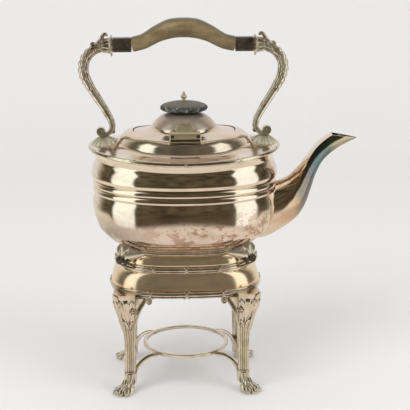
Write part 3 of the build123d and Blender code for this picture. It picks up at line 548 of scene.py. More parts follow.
def ringPiece(name, half, power, profile, material, body, node):
    # A closed moulding round an oval: the profile gives how far out and how high.
    rings = [ovalRing(half[0] + out, half[1] + out, power, z) for out, z in profile]
    return makePiece(name, skin(rings, wrap=True), material, body, [node])


def closedBowl():
    power = kettle["footPower"]
    outer = smoothed(kettle["bowl"], kettle["perSpan"])
    halfX, halfY, _, bottom = outer[0]
    top = bottom + kettle["wall"]
    inner = [station for station in insetProfile(outer, kettle["wall"]) if station[3] > top]
    floor = [(share * halfX, share * halfY, power, bottom) for share in (0.02, 0.3, 0.6, 0.9)]
    innerX, innerY = inner[0][:2]
    bed = [(share * innerX, share * innerY, power, top) for share in (0.95, 0.6, 0.3, 0.02)]
    rings = [ovalRing(*station) for station in floor + outer + inner[::-1] + bed]
    makePiece("kettleBowl", skin(rings), bodyFinish, "kettle", ["kettle_bowl"])


def buildKettleBody():
    closedBowl()
    shellPiece("kettleUpperWall", kettle["upper"], bodyFinish, "kettle", "kettle_upper_wall")
    shellPiece("kettleShoulder", kettle["shoulder"], lidFinish, "kettle", "kettle_shoulder")
    for level, node in enumerate(("girdle_reed_lower", "girdle_reed_upper")):
        bottom = kettle["girdleBottom"] + level * kettle["reedHeight"]
        profile = halfRound(bottom, kettle["reedHeight"], kettle["reedBulge"], 14)
        profile += [(-kettle["wall"], profile[-1][1]), (-kettle["wall"], bottom)]
        ringPiece("girdleReed" + str(level + 1), kettle["girdle"], kettle["bodyPower"], profile, bodyFinish,
                  "kettle", node)
    profile = halfRound(kettle["rimBottom"], kettle["rimHeight"], kettle["rimBulge"], 14)
    profile += [(-kettle["rimWidth"], profile[-1][1]), (-kettle["rimWidth"], kettle["rimBottom"])]
    ringPiece("rimBorder", kettle["rim"], kettle["bodyPower"], profile, castFinish, "kettle", "rim_border")
    profile = []
    for up, height, bulge in kettle["footReeds"]:
        reed = halfRound(kettle["footBottom"] + up, height, bulge)
        profile += [(out - kettle["footInset"], z) for out, z in reed]
    for up in (kettle["footHeight"], 0):
        profile.append((-kettle["footWidth"], kettle["footBottom"] + up))
    ringPiece("footRing", kettle["foot"], kettle["footPower"], profile, castFinish, "kettle", "kettle_foot")


buildKettleBody()
print("kettle body done")

spout = {
    # upper point, lower point, half width, how high the crease lies between them
    "stations": [
        ((66, 188), (62, 142), 20, 0.62), ((80, 195), (75, 141), 19.5, 0.62),
        ((92, 198.6), (92, 149), 17, 0.63),
        ((99.5, 202.4), (107, 160), 14.5, 0.66), ((105.5, 208.2), (115.5, 173), 12.2, 0.71),
        ((111, 214.8), (120.8, 188), 10.6, 0.80), ((117.5, 223), (125.2, 202.2), 9.4, 0.90),
        ((124, 231), (131, 214.4), 8.7, 0.94), ((132, 238.2), (138.5, 222.6), 8.2, 0.95),
        ((141.5, 243.6), (146.5, 228.6), 7.4, 0.96), ((152, 245), (154.5, 233.1), 5.8, 0.96),
        ((163.6, 242), (163.6, 237.6), 2.2, 0.95)],
    "wall": 1.1, "mouthStart": (136, 242.6), "mouthEnd": (165, 238.2), "cutHeight": 20, "cutHalf": 15,
    "sharpAngle": 30,
}


def spoutSection(upperX, upperZ, lowerX, lowerZ, halfWidth, crease, inset):
    # A rounded back above the crease, and flanks that draw in to a narrow keel.
    up = Vector((upperX - lowerX, 0, upperZ - lowerZ))
    height = up.length
    up.normalize()
    top, width = height - inset, halfWidth - inset
    ridge = crease * height
    half = []
    for step in range(10):
        t = step / 10
        half.append((width * (1 - (1 - t) ** 1.25), top - (top - ridge) * t ** 1.6))
    for step in range(23):
        t = step / 22
        near, middle, far = (1 - t) ** 3, 3 * t * (1 - t) ** 2, 3 * t * t * (1 - t)
        climb = ridge * (near + 0.72 * middle + 0.06 * far)
        half.append((width * (near + 1.03 * middle + 0.80 * far), climb * (1 - inset / height) + inset))
    whole = half + [(-a, r) for a, r in reversed(half[1:-1])]
    return [Vector((lowerX, a, lowerZ)) + up * r for a, r in whole]


def spoutSkin(inset):
    rows = smoothed([(*upper, *lower, width, crease) for upper, lower, width, crease in spout["stations"]], 6)
    return skin([spoutSection(*row, min(inset, row[4] * 0.3)) for row in rows])


def cutWith(piece, shape):
    tool = bpy.data.objects.new("cutter", meshOf("cutter", shape, smooth=False))
    link(tool)
    modifier = piece.modifiers.new("cut", "BOOLEAN")
    modifier.operation = "DIFFERENCE"
    modifier.solver = "EXACT"
    modifier.object = tool
    graph = bpy.context.evaluated_depsgraph_get()
    result = bpy.data.meshes.new_from_object(piece.evaluated_get(graph))
    piece.modifiers.remove(modifier)
    piece.data = result
    bpy.data.objects.remove(tool)


def buildSpout():
    piece = makePiece("spout", spoutSkin(0), spoutFinish, "kettle", ["spout"])
    cutWith(piece, spoutSkin(spout["wall"]))
    (startX, startZ), (endX, endZ) = spout["mouthStart"], spout["mouthEnd"]
    up, half = spout["cutHeight"], spout["cutHalf"]
    block = [(startX, startZ), (endX, endZ), (endX, endZ + up), (startX, endZ + up)]
    cutWith(piece, skin([[Vector((x, side, z)) for x, z in block] for side in (-half, half)]))
    piece.data.set_sharp_from_angle(angle=radians(spout["sharpAngle"]))


buildSpout()
print("spout done")

lid = [
    # half width, half depth, squareness and height, from the edge to the top
    (47.6, 39.2, 2.1, 244.3), (47.3, 38.9, 2.1, 245.4), (44, 36.3, 2.1, 246.1), (38.5, 31.9, 2.1, 247.2),
    (34, 28.3, 2.05, 248.6), (31.4, 26.2, 2, 251), (29.6, 24.7, 2, 253.6), (26.8, 22.3, 2, 256.8),
    (22.7, 18.9, 2, 260.3), (18, 15, 2, 262.8), (11, 9.2, 2, 264.3), (4, 3.4, 2, 264.5)]

hinge = {
    "halfWidth": 13.9, "front": -46.1, "archHalf": 8.6, "archBottom": 252.4, "archHeight": 5.4,
    "bars": [(251.9, -44.9, 0.95), (247.8, -46.1, 0.55), (244.8, -46.1, 0.45)],  # height, depth, radius
    "post": [(-46.1, 244.8), (-46.2, 248), (-45.6, 250.6), (-44.9, 251.9)], "postRadius": 0.6,
}


def lidDepth(x, z):
    # How far the lid's outside stands from the middle at a place across and up.
    low, high = next(pair for pair in zip(lid, lid[1:]) if pair[1][3] >= z)
    share = (z - low[3]) / (high[3] - low[3])
    halfX, halfY, power = (low[i] + (high[i] - low[i]) * share for i in range(3))
    return halfY * (1 - (abs(x) / halfX) ** power) ** (1 / power)


def rod(path, radius, count=12):
    # A round wire that may bend any way.
    rings = []
    last = len(path) - 1
    for index, point in enumerate(path):
        run = (path[min(index + 1, last)] - path[max(index - 1, 0)]).normalized()
        first = run.cross(Vector((0, 1, 0)))
        if first.length < 0.2:
            first = run.cross(Vector((0, 0, 1)))
        first.normalize()
        second = run.cross(first)
        rings.append([point + first * a + second * b for a, b in ovalLoop(radius, radius, 2, count)])
    return skin(rings)


def buildHingeTrim():
    half = hinge["halfWidth"]
    bars = [rod([Vector((x, y, z)) for x in (-half, -5, 5, half)], radius) for z, y, radius in hinge["bars"]]
    for x in (-half, half):
        bars.append(rod([Vector((x, y, z)) for y, z in hinge["post"]], hinge["postRadius"]))
    makePiece("hingeFrame", joined(*bars), brassFinish, "kettle")
    arch, bottom = [], hinge["archBottom"]
    for step in range(21):
        angle = pi * step / 20
        x, z = hinge["archHalf"] * cos(angle), bottom + hinge["archHeight"] * sin(angle)
        arch.append(Vector((x, -lidDepth(x, z) - 1.7, z)))
    plate = [Vector((v.x * 0.2, v.y, bottom + (v.z - bottom) * 0.2)) for v in arch]
    makePiece("hingeArch", joined(rod(arch, 0.55), skin([arch, plate], capped=False)), brassFinish, "lid")


shellPiece("lidShell", lid, lidFinish, "lid", "lid_shell")
buildHingeTrim()
print("lid done")


def swept(path, ringAt, side=Vector((0, 1, 0))):
    # ringAt(index, arc) gives (out, side) pairs; a path in the XZ plane turns about Y.
    last = len(path) - 1
    rings = []
    arc = 0.0
    for index, point in enumerate(path):
        if index:
            arc += (point - path[index - 1]).length
        run = (path[min(index + 1, last)] - path[max(index - 1, 0)]).normalized()
        out = run.cross(side).normalized()
        rings.append([point + out * a + side * b for a, b in ringAt(index, arc)])
    return skin(rings)


def flatPath(points, perSpan=0):
    # Points (x, z) as a path in the XZ plane, smoothed or as they are.
    return [Vector((x, 0, z)) for x, z in (smoothed(points, perSpan) if perSpan else points)]


def spiralPath(centre, startRadius, endRadius, startAngle, turns, steps):
    points = []
    for step in range(steps + 1):
        t = step / steps
        radius = startRadius + (endRadius - startRadius) * t ** 0.8
        angle = radians(startAngle) + 2 * pi * turns * t
        points.append((centre[0] + radius * cos(angle), centre[1] + radius * sin(angle)))
    return flatPath(points)


def band(path, half, halfSide, power=3.0, count=20, taper=0.0, sideAt=0.0):
    def ring(index, arc):
        shrink = 1 - taper * index / (len(path) - 1)
        return [(a, b + sideAt) for a, b in ovalLoop(half * shrink, halfSide, power, count)]
    return swept(path, ring)


def ball(centre, radii, rows=10, count=18):
    x, y, z = centre
    rings = []
    for row in range(1, rows):
        tilt = pi * row / rows
        loop = ovalLoop(radii[0] * sin(tilt), radii[1] * sin(tilt), 2, count)
        rings.append([Vector((x + a, y + b, z - radii[2] * cos(tilt))) for a, b in loop])
    return skin(rings)


def lathe(profile, centre=(0.0, 0.0), count=48, flutes=0, depth=0.0):
    rings = []
    for radius, height in profile:
        ring = []
        for k in range(count):
            angle = 2 * pi * k / count
            reach = radius * (1 + depth * abs(cos(flutes * angle / 2)) - depth)
            ring.append(Vector((centre[0] + reach * cos(angle), centre[1] + reach * sin(angle), height)))
        rings.append(ring)
    return skin(rings)


def blade(path, halves, lift, facing, count=22):
    # One leaf lobe that lies on a face: raised, with a vein down its middle.
    stations = smoothed([(*point, half) for point, half in zip(path, halves)], 5)
    last = len(stations) - 1

    def ring(index, arc):
        half = stations[index][3]
        swell = lift * min(1.0, 0.35 + 1.3 * sin(pi * index / last))
        pairs = []
        for a, b in ovalLoop(half, swell, 2, count):
            vein = 1 - 0.5 * max(0.0, 1 - abs(a) / (0.3 * half))
            pairs.append((a, b * vein if b > 0 else b * 0.4))
        return pairs
    return swept([Vector(point[:3]) for point in stations], ring, Vector(facing))


def placed(shape, swap, depth):
    # From its own plane to the stand: along Y at a depth, or turned to face along X.
    verts, faces = shape
    if swap:
        return [Vector((depth + v.y, v.x, v.z)) for v in verts], [tuple(reversed(face)) for face in faces]
    return [Vector((v.x, depth + v.y, v.z)) for v in verts], faces


corners = {"front_left": (-1, -1), "front_right": (1, -1), "back_left": (-1, 1), "back_right": (1, 1)}


def atCorners(*pieces):
    # Each piece at every corner: its name, shape, finish, body, and what it replaces or else its slot, which
    # is not used.
    for corner, (sideX, sideY) in corners.items():
        for name, shape, material, body, node, slot in pieces:
            nodes = [node + corner] if node else ()
            makePiece(name + corner, turned(shape, sideX, sideY), material, body, nodes)


stand = {
    "power": 2.8, "border": (72.5, 53.5), "borderTop": 104.4, "borderBottom": 97, "borderWidth": 6,
    "borderReeds": [(97, 2.3, 0.9, -1.9), (99.3, 2.8, 1.3, -1.3), (102.1, 2.3, 1, -2)],  # height .. inset
    "apronInset": 1.4, "apronBottom": 104.45, "apronHeight": 16.1, "apronTurn": (5, 70), "apronWall": 1.1,
    "base": (62.5, 48.2), "ringReeds": [(120.6, 1.7, 0.7), (122.3, 2.8, 1.6), (125.1, 1.7, 0.7)],
    "ringBottom": 120.6, "ringTop": 126.8, "ringWidth": 2,
    # how far out and how high, up the collar's outside and then down its inside
    "collar": [(-0.4, 126.9), (-0.1, 127.4), (0, 128.6), (-0.3, 130.8), (-0.8, 132.6), (-1.5, 134.4),
               (-2.3, 135.8), (-3, 136.6), (-3.6, 136.85)],
    "collarInside": [(-5.6, 136.8), (-5.8, 136.4), (-5.8, 126.9)],
}


def standPiece(name, half, profile, material, node):
    ringPiece(name, half, stand["power"], profile, material, "stand", node)


def apronRings():
    # A quarter of a turn from the border in to the base, shared out between the two ovals.
    (borderX, borderY), (baseX, baseY), inset = stand["border"], stand["base"], stand["apronInset"]
    first, last = (radians(turn) for turn in stand["apronTurn"])
    sizes = []
    for step in range(25):
        angle = first + (last - first) * step / 24
        share = (cos(first) - cos(angle)) / (cos(first) - cos(last))
        up = (sin(angle) - sin(first)) / (sin(last) - sin(first))
        sizes.append((borderX - inset + (baseX - borderX + inset) * share,
                      borderY - inset + (baseY - borderY + inset) * share,
                      stand["apronBottom"] + stand["apronHeight"] * up))
    wall = stand["apronWall"]
    inside = [(x - wall, y - wall, max(z - 0.4, stand["apronBottom"] + 0.05)) for x, y, z in reversed(sizes)]
    return [ovalRing(x, y, stand["power"], z) for x, y, z in sizes + inside]


def buildStandRings():
    profile = []
    for bottom, height, bulge, inset in stand["borderReeds"]:
        profile += [(inset + out, z) for out, z in halfRound(bottom, height, bulge)]
    profile += [(-stand["borderWidth"], stand["borderTop"]), (-stand["borderWidth"], stand["borderBottom"])]
    standPiece("standBorder", stand["border"], profile, castFinish, "stand_border")
    makePiece("standApron", skin(apronRings(), wrap=True), apronFinish, "stand", ["stand_apron"])
    profile = [place for reed in stand["ringReeds"] for place in halfRound(*reed)]
    profile += [(-stand["ringWidth"], stand["ringTop"]), (-stand["ringWidth"], stand["ringBottom"])]
    standPiece("standReedRing", stand["base"], profile, castFinish, "stand_reed_ring")
    profile = smoothed(stand["collar"], 4) + stand["collarInside"]
    standPiece("standCollar", stand["base"], profile, apronFinish, "stand_collar")


leg = {
    "spread": (54, 40.4), "skew": 0.75, "power": 3.2, "count": 150, "innerShift": 4.4, "innerTop": 91,
    "cutOval": (72.2, 53.2), "cutRange": (97, 120), "reedEnd": 78, "reedDepth": 0.5,
    # how far the middle leans out, half width and height
    "stations": [
        (0, 5.3, 22.2), (-0.3, 5.3, 33), (-0.3, 5.4, 45), (-0.3, 6.2, 60), (1, 7.9, 75), (2.4, 9.6, 88),
        (3.4, 10.8, 98), (3.6, 11, 101.6)],
    # on a face: (distance from its middle, height, how proud) along each lobe, its half widths and its rise
    "lobes": [
        ([(0.3, 72, 0.2), (0.2, 79, 0.5), (0, 86, 0.7), (0, 92, 0.8), (0, 96.2, 0.6)],
         (0.4, 2, 3, 3.2, 2.4), 1.5),
        ([(1.2, 76, 0), (2.6, 82, 0.3), (4.6, 87, 0.6), (7, 90.5, 1)], (0.4, 1.7, 1.9, 0.5), 1.5),
        ([(-1.2, 76, 0), (-2.6, 81, 0.3), (-4.4, 84.5, 0.5), (-6.2, 86.5, 0.9)], (0.4, 1.5, 1.6, 0.5), 1.4),
        ([(2.4, 84, 0.1), (4, 90, 0.3), (6.4, 93.6, 0.5), (8.6, 95.6, 0.7)], (0.5, 2, 2.3, 1.2), 1.3),
        ([(-2.4, 85, 0.1), (-3.8, 90, 0.3), (-6, 93.2, 0.5), (-8.2, 95.2, 0.7)], (0.5, 1.9, 2.2, 1.2), 1.3),
        ([(0.4, 64, 0), (1.4, 69, 0.2), (3.2, 73, 0.4), (4.8, 75, 0.8)], (0.3, 1.1, 1.2, 0.4), 1.1),
        ([(-0.4, 64, 0), (-1.4, 69, 0.2), (-3, 72.5, 0.4), (-4.4, 74, 0.7)], (0.3, 1, 1.1, 0.4), 1)],
    "cornerLobes": [
        ([(0, 60, 0), (0, 68, 0.3), (0, 77, 0.6), (0, 85, 1.4)], (0.5, 1.6, 2.2, 0.8), 1.6),
        ([(0, 74, 0), (0, 83, 0.3), (0, 93, 0.5), (0, 100.5, 0.9), (0, 103.6, 1.6)],
         (0.7, 2.3, 3.4, 3, 1.6), 1.6)],
    "scrollEye": (49.6, 85), "scrollDepth": 52.3,
}


def onLeg(kind, along, z, proud):
    # A place on the leg's front, side or corner.
    stations = leg["stations"]
    index = next((i for i in range(len(stations) - 2) if stations[i + 1][2] >= z), len(stations) - 2)
    low, high = stations[index], stations[index + 1]
    share = (z - low[2]) / (high[2] - low[2])
    out, half = low[0] + (high[0] - low[0]) * share, low[1] + (high[1] - low[1]) * share
    x, y = leg["spread"][0] + out, leg["spread"][1] + leg["skew"] * out
    if kind == "front":
        return x + along, y + half + proud, z
    if kind == "side":
        return x + half + proud, y + along, z
    reach = 0.805 * half + 0.707 * proud
    return x + reach - 0.707 * along, y + reach + 0.707 * along, z


def kneeLeaves():
    shapes = []
    for kind, facing in (("front", (0, 1, 0)), ("side", (1, 0, 0)), ("corner", (0.707, 0.707, 0))):
        for path, halves, lift in leg["cornerLobes"] if kind == "corner" else leg["lobes"]:
            shapes.append(blade([onLeg(kind, *place) for place in path], halves, lift, facing))
    beads = [onLeg("corner", 0, 61.5 - 2.6 * step, 0.1) for step in range(6)]
    return joined(*shapes, *(ball(bead, (0.95, 0.95, 1.1), 7, 12) for bead in beads))


def legRing(out, half, z):
    # The two outer faces carry reeds that fade out below the knee.
    centreX, centreY = leg["spread"][0] + out, leg["spread"][1] + leg["skew"] * out
    reedFade = min(1.0, max(0.0, (leg["reedEnd"] - z) / 6))
    ring = []
    for step, (x, y) in enumerate(ovalLoop(half, half, leg["power"], leg["count"])):
        angle = 2 * pi * step / leg["count"]
        proud = 0.0
        if max(x, y) > 0.72 * half:
            proud = reedFade * (leg["reedDepth"] * cos(5 * pi * min(x, y) / half) - 0.35)
        ring.append(Vector((centreX + x + proud * cos(angle), centreY + y + proud * sin(angle), z)))
    return ring


def legPost():
    # The post and the block that hollows its inner corner.
    rows = smoothed(leg["stations"], 16)
    outer = skin([legRing(*row) for row in rows])
    (spreadX, spreadY), shift = leg["spread"], leg["innerShift"]
    hollow = []
    for out, half, z in rows:
        if z < leg["innerTop"]:
            hollow.append([Vector((spreadX + out - shift + x, spreadY + leg["skew"] * out - shift + y, z))
                           for x, y in ovalLoop(half, half, leg["power"], 60)])
    hollow[0] = [v - Vector((0, 0, 2)) for v in hollow[0]]
    return outer, skin(hollow)


bracket = {
    # depth and half width of the strip, the scroll's eye, and the run up to it
    "front": (47.5, (35.4, 93.2), [
        (48.6, 68), (47.9, 72), (46.8, 77), (44.8, 82.6), (42, 87.8), (39.3, 92), (38.4, 93.6)]),
    "side": (65.5, (26, 93.2), [
        (34, 79.5), (33.6, 81.5), (32.8, 84), (31.8, 86.6), (30.5, 89.4), (29.4, 92), (29, 93.6)]),
    "half": 1.25, "halfSide": 2.1, "top": 96.9, "columns": 26, "rows": 10, "webHalf": 1.1, "flute": 0.55,
}


def bracketShape(kind):
    # In its own plane: distance along the border, then depth, then height.
    depth, eye, points = bracket[kind]
    run = flatPath(points, 6)
    path = run[:-1] + spiralPath(eye, 3.1, 1.3, 8, 1.35, 34)

    def ring(index, arc):
        shrink = 1 - 0.35 * index / len(path)
        loop = ovalLoop(bracket["half"] * shrink, bracket["halfSide"], 2.6, 28)
        return [(a - copysign(0.35 * max(0.0, 1 - abs(b) / 0.5), a), b) for a, b in loop]
    web = []
    for column in range(bracket["columns"] + 1):
        index = column / bracket["columns"] * (len(run) - 2)
        low = run[int(index)].lerp(run[int(index) + 1], index % 1)
        front, back = [], []
        for row in range(bracket["rows"] + 1):
            s = row / bracket["rows"]
            z = low.z + (bracket["top"] - low.z) * s
            flute = bracket["flute"] * abs(sin(9 * atan2(z - 70, 56 - low.x))) * (1 - s * 0.3)
            front.append(Vector((low.x, -bracket["webHalf"] - flute, z)))
            back.append(Vector((low.x, bracket["webHalf"] + flute, z)))
        web.append(front + back[::-1])
    shape = joined(swept(path, ring), ball((eye[0], 0, eye[1]), (1.5, 2.5, 1.5)), skin(web))
    return placed(shape, kind == "side", depth)


def kneeScroll():
    # The small scroll that lies on the knee's front face.
    x, z = leg["scrollEye"]
    strip = band(spiralPath((x, z), 3.3, 1, -60, 1.5, 36), 0.75, 1.3, 2.2, 12, 0.3)
    return placed(joined(strip, ball((x, 0, z), (1.1, 1.7, 1.1), 8, 12)), False, leg["scrollDepth"])


def buildLegs():
    outer, hollow = legPost()
    post = makePiece("legPattern", outer, castFinish, "stand")
    cutWith(post, hollow)
    cutWith(post, skin([ovalRing(*leg["cutOval"], stand["power"], z, 96) for z in leg["cutRange"]]))
    data = post.data
    cut = ([Vector(v.co) / millimetre for v in data.vertices], [tuple(p.vertices) for p in data.polygons])
    bpy.data.objects.remove(post)
    shape = joined(cut, bracketShape("front"), bracketShape("side"), kneeScroll(), kneeLeaves())
    atCorners(("leg_", shape, castFinish, "stand", "leg_", None))


paw = {
    # how far out the centre lies, the half width, the height
    "levels": [
        (5.4, 7.4, 0), (5.3, 7.5, 0.6), (4.9, 7.3, 2.6), (4.2, 6.8, 5), (3.2, 6, 7.6), (1.9, 5.3, 10.4),
        (0.8, 4.9, 13.4), (0.2, 4.8, 16.4), (0, 5, 19.1)],
    # degrees from straight ahead, how far each toe bulges and how far out its claw starts
    "toes": [(-52, 3.6, 9.6), (-17, 4.9, 11.2), (17, 4.9, 11.2), (52, 3.6, 9.6)], "count": 120,
    "cuff": [(4.6, 18.9), (5.9, 19.1), (6.3, 19.7), (6.1, 20.3), (5.5, 20.6), (5.6, 20.9), (6.4, 21.3),
             (6.3, 21.9), (5.2, 22.2), (3, 22.2)],
    # the claw's path and its radii
    "claw": [(0, 4.2, 1.2), (0.9, 4, 1.1), (1.6, 3, 0.9), (1.9, 1.7, 0.55), (1.8, 0.5, 0.15)],
}


def pawShape():
    spreadX, spreadY = leg["spread"]
    away = Vector((spreadX, spreadY, 0)).normalized()
    heading = atan2(away.y, away.x)
    rings = []
    for out, half, z in smoothed(paw["levels"], 5):
        toeLift = max(0.0, 1 - ((z - 3.4) / 4.6) ** 2) ** 0.5
        knuckle = max(0.0, 1 - ((z - 8) / 5) ** 2)
        ring = []
        for step, (x, y) in enumerate(ovalLoop(half, half, 2.4, paw["count"])):
            angle = 2 * pi * step / paw["count"]
            reach = 0.0
            for turn, length, clawAt in paw["toes"]:
                gap = (angle - heading - radians(turn) + pi) % (2 * pi) - pi
                reach = max(reach, length * toeLift * max(0.0, 1 - (gap / 0.30) ** 2) ** 0.6,
                            knuckle * max(0.0, 1 - (gap / 0.26) ** 2))
            reach += 0.75 * cos(9 * (angle - heading)) * min(1.0, max(0.0, (z - 6.5) / 4))  # tendons
            ring.append(Vector((spreadX + out * away.x + x + reach * cos(angle),
                                spreadY + out * away.y + y + reach * sin(angle), z)))
        rings.append(ring)

    def clawRing(index, arc):
        radius = paw["claw"][index][2]
        return ovalLoop(radius, radius, 2, 12)
    claws = []
    for turn, length, clawAt in paw["toes"]:
        angle = heading + radians(turn)
        lead = Vector((cos(angle), sin(angle), 0))
        base = Vector((spreadX, spreadY, 0)) + away * paw["levels"][0][0] + lead * clawAt
        path = [base + lead * ahead + Vector((0, 0, z)) for ahead, z, radius in paw["claw"]]
        claws.append(ball(base - lead * (clawAt * 0.1 + 1.6) + Vector((0, 0, 3.3)), (2.7, 2.7, 3.2)))
        claws.append(swept(path, clawRing, lead.cross(Vector((0, 0, 1)))))
    return joined(skin(rings), lathe(paw["cuff"], leg["spread"]), *claws)


def instanceTree():
    # One node tree that sets a motif on each point, turned as the point says.
    tree = bpy.data.node_groups.new("placeMotif", "GeometryNodeTree")
    face = tree.interface
    face.new_socket("Geometry", in_out="INPUT", socket_type="NodeSocketGeometry")
    motif = face.new_socket("Motif", in_out="INPUT", socket_type="NodeSocketObject")
    finish = face.new_socket("Finish", in_out="INPUT", socket_type="NodeSocketMaterial")
    face.new_socket("Geometry", in_out="OUTPUT", socket_type="NodeSocketGeometry")
    kinds = {
        "start": "NodeGroupInput", "info": "GeometryNodeObjectInfo", "points": "GeometryNodeMeshToPoints",
        "turn": "GeometryNodeInputNamedAttribute", "place": "GeometryNodeInstanceOnPoints",
        "real": "GeometryNodeRealizeInstances", "paint": "GeometryNodeSetMaterial", "end": "NodeGroupOutput"}
    made = {name: tree.nodes.new(kind) for name, kind in kinds.items()}
    made["turn"].data_type = "FLOAT_VECTOR"
    made["turn"].inputs["Name"].default_value = "turn"
    for source, output, target, entry in (
            ("start", "Geometry", "points", "Mesh"), ("start", "Motif", "info", "Object"),
            ("points", "Points", "place", "Points"), ("info", "Geometry", "place", "Instance"),
            ("turn", "Attribute", "place", "Rotation"), ("place", "Instances", "real", "Geometry"),
            ("real", "Geometry", "paint", "Geometry"), ("start", "Finish", "paint", "Material"),
            ("paint", "Geometry", "end", "Geometry")):
        tree.links.new(made[source].outputs[output], made[target].inputs[entry])
    return tree, motif.identifier, finish.identifier


placeTree, motifSocket, finishSocket = instanceTree()


def repeated(name, motif, places, material, body):
    # places: a point in millimetres and a turn about Z for each copy of the motif
    mesh = bpy.data.meshes.new(name + "Points")
    mesh.from_pydata([point * millimetre for point, turn in places], [], [])
    turns = mesh.attributes.new("turn", "FLOAT_VECTOR", "POINT")
    turns.data.foreach_set("vector", [c for point, turn in places for c in (0, 0, turn)])
    holder = bpy.data.objects.new(name, mesh)
    link(holder)
    source = bpy.data.objects.new(name + "Motif", meshOf(name + "Motif", motif))
    link(source)
    modifier = holder.modifiers.new("place", "NODES")
    modifier.node_group = placeTree
    modifier[motifSocket] = source
    modifier[finishSocket] = material
    graph = bpy.context.evaluated_depsgraph_get()
    result = bpy.data.meshes.new_from_object(holder.evaluated_get(graph))
    holder.modifiers.remove(modifier)
    holder.data = result
    bpy.data.objects.remove(source)
    markHollows(result)
    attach(holder, body)


tie = {
    # moulding height, its bulge, how far the ribbons lean; how far in the oval, height, how many
    "borderTies": (7.2, 1.2, 5, 1, 100.7, 12), "reedRingTies": (6, 1.8, 4.2, 0.1, 123.7, 12),
    "rimTies": (3.8, 1.25, 6, 0.1, 230.6, 10), "half": 0.62, "lift": 0.35, "overLift": 0.18, "sink": 0.3,
}


def tieMotif(height, bulge, spread):
    # Two ribbons that cross over a half-round moulding. X runs along it, -Y is outwards.
    strips = []
    half, sink = tie["half"], tie["sink"]
    for lean in (-1, 1):
        rings = []
        for step in range(15):
            share = step / 14
            angle = pi * (0.06 + 0.88 * share)
            lift = tie["lift"] + (tie["overLift"] if lean > 0 else 0.0)
            along = lean * spread * (share - 0.5)
            out, up = (bulge + lift) * sin(angle), -(height / 2 + lift) * cos(angle)
            low, high = (bulge - sink) * sin(angle), -(height / 2 - sink) * cos(angle)
            rings.append([Vector(place) for place in (
                (along - half, -low, high), (along - half, -out, up), (along, -out - 0.12, up),
                (along + half, -out, up), (along + half, -low, high))])
        strips.append(skin(rings))
    return joined(*strips)


def tiePlaces(halfX, halfY, power, z, count):
    # Even steps along the oval, one of them at the front.
    samples = [ovalPoint(2 * pi * k / 720 - pi / 2, halfX, halfY, power) for k in range(721)]
    lengths = [0.0]
    for before, after in zip(samples, samples[1:]):
        lengths.append(lengths[-1] + hypot(after[0] - before[0], after[1] - before[1]))
    places = []
    for index in range(count):
        goal = lengths[-1] * index / count
        k = next(i for i, run in enumerate(lengths) if run >= goal)
        x, y = samples[k]
        ahead, behind = samples[(k + 2) % 720], samples[(k - 2) % 720]
        turn = atan2(ahead[1] - behind[1], ahead[0] - behind[0])
        places.append((Vector((x, y, z + upsweep(x, halfX, z))), turn))
    return places


def buildTies():
    for name, half, power, material, body, slot in (
            ("borderTies", stand["border"], stand["power"], castFinish, "stand", "cast_plate"),
            ("reedRingTies", stand["base"], stand["power"], castFinish, "stand", "cast_plate"),
            ("rimTies", kettle["rim"], kettle["bodyPower"], bodyFinish, "kettle", "silver_plate")):
        height, bulge, spread, inset, z, count = tie[name]
        places = tiePlaces(half[0] - inset, half[1] - inset, power, z, count)
        repeated(name, tieMotif(height, bulge, spread), places, material, body)


mount = {
    "pin": (62, 132.4), "pinRadius": 1.9, "lugDepth": 39.4, "lugBack": 35.2, "hookDepth": 39.5,
    # angle from the pin in degrees, how far the fan reaches
    "fan": [(-25, 4), (5, 4.2), (40, 6), (62, 8.2), (80, 12.2), (96, 16), (112, 17), (126, 17), (138, 17.2),
            (148, 18.4), (156, 20.6), (162, 23.6), (166, 23.4), (170, 18), (180, 8.5), (205, 5.5)],
    "star": (57, 41, 131.9), "starReach": 4.9,
    "hook": [(64.4, 134.2), (64.9, 131.6), (63.4, 129.4), (60.4, 127.6), (56.4, 126), (52, 124.4),
             (48.5, 124)],
    "hookWeb": [(60.6, 130.2), (57.4, 129.2), (53.6, 127.6), (50.4, 126.2)],
}


def fanShape():
    # Flutes spread from the pin over the bowl's corner.
    pinX, pinZ = mount["pin"]
    start = mount["pinRadius"]
    columns = []
    for angle, reach in smoothed(mount["fan"], 7):
        turn = radians(angle)
        flute = abs(sin(turn * 5.5)) ** 0.7
        edge = reach * (0.93 + 0.10 * flute)
        front, back = [], []
        for row in range(13):
            t = row / 12
            r = start + (edge - start) * t
            x, z = pinX + r * cos(turn), pinZ + r * sin(turn)
            bulge = 0.5 + 1.5 * flute * sin(pi * min(1, t * 0.9 + 0.06)) + 1.2 * t
            front.append(Vector((x, mount["lugDepth"] + bulge, z)))
            back.append(Vector((x, mount["lugBack"] + 3 * t, z)))
        columns.append(front + back[::-1])
    return skin(columns)


def wingShape():
    # The leaf that lies against the foot between the fan and the front.
    rows = []
    for step in range(31):
        t = step / 30
        half = 3.6 * (1 - t) ** 0.5 + 0.4
        depth = 48 + 1.6 * (1 - abs(2 * t - 0.5))
        loop = ovalLoop(half * (1 + 0.12 * sin(t * 40)), 1.5, 2, 20)
        rows.append([Vector((57 - 19.5 * t, depth + b, 139.6 + 1.2 * t + a)) for a, b in loop])
    return skin(rows)


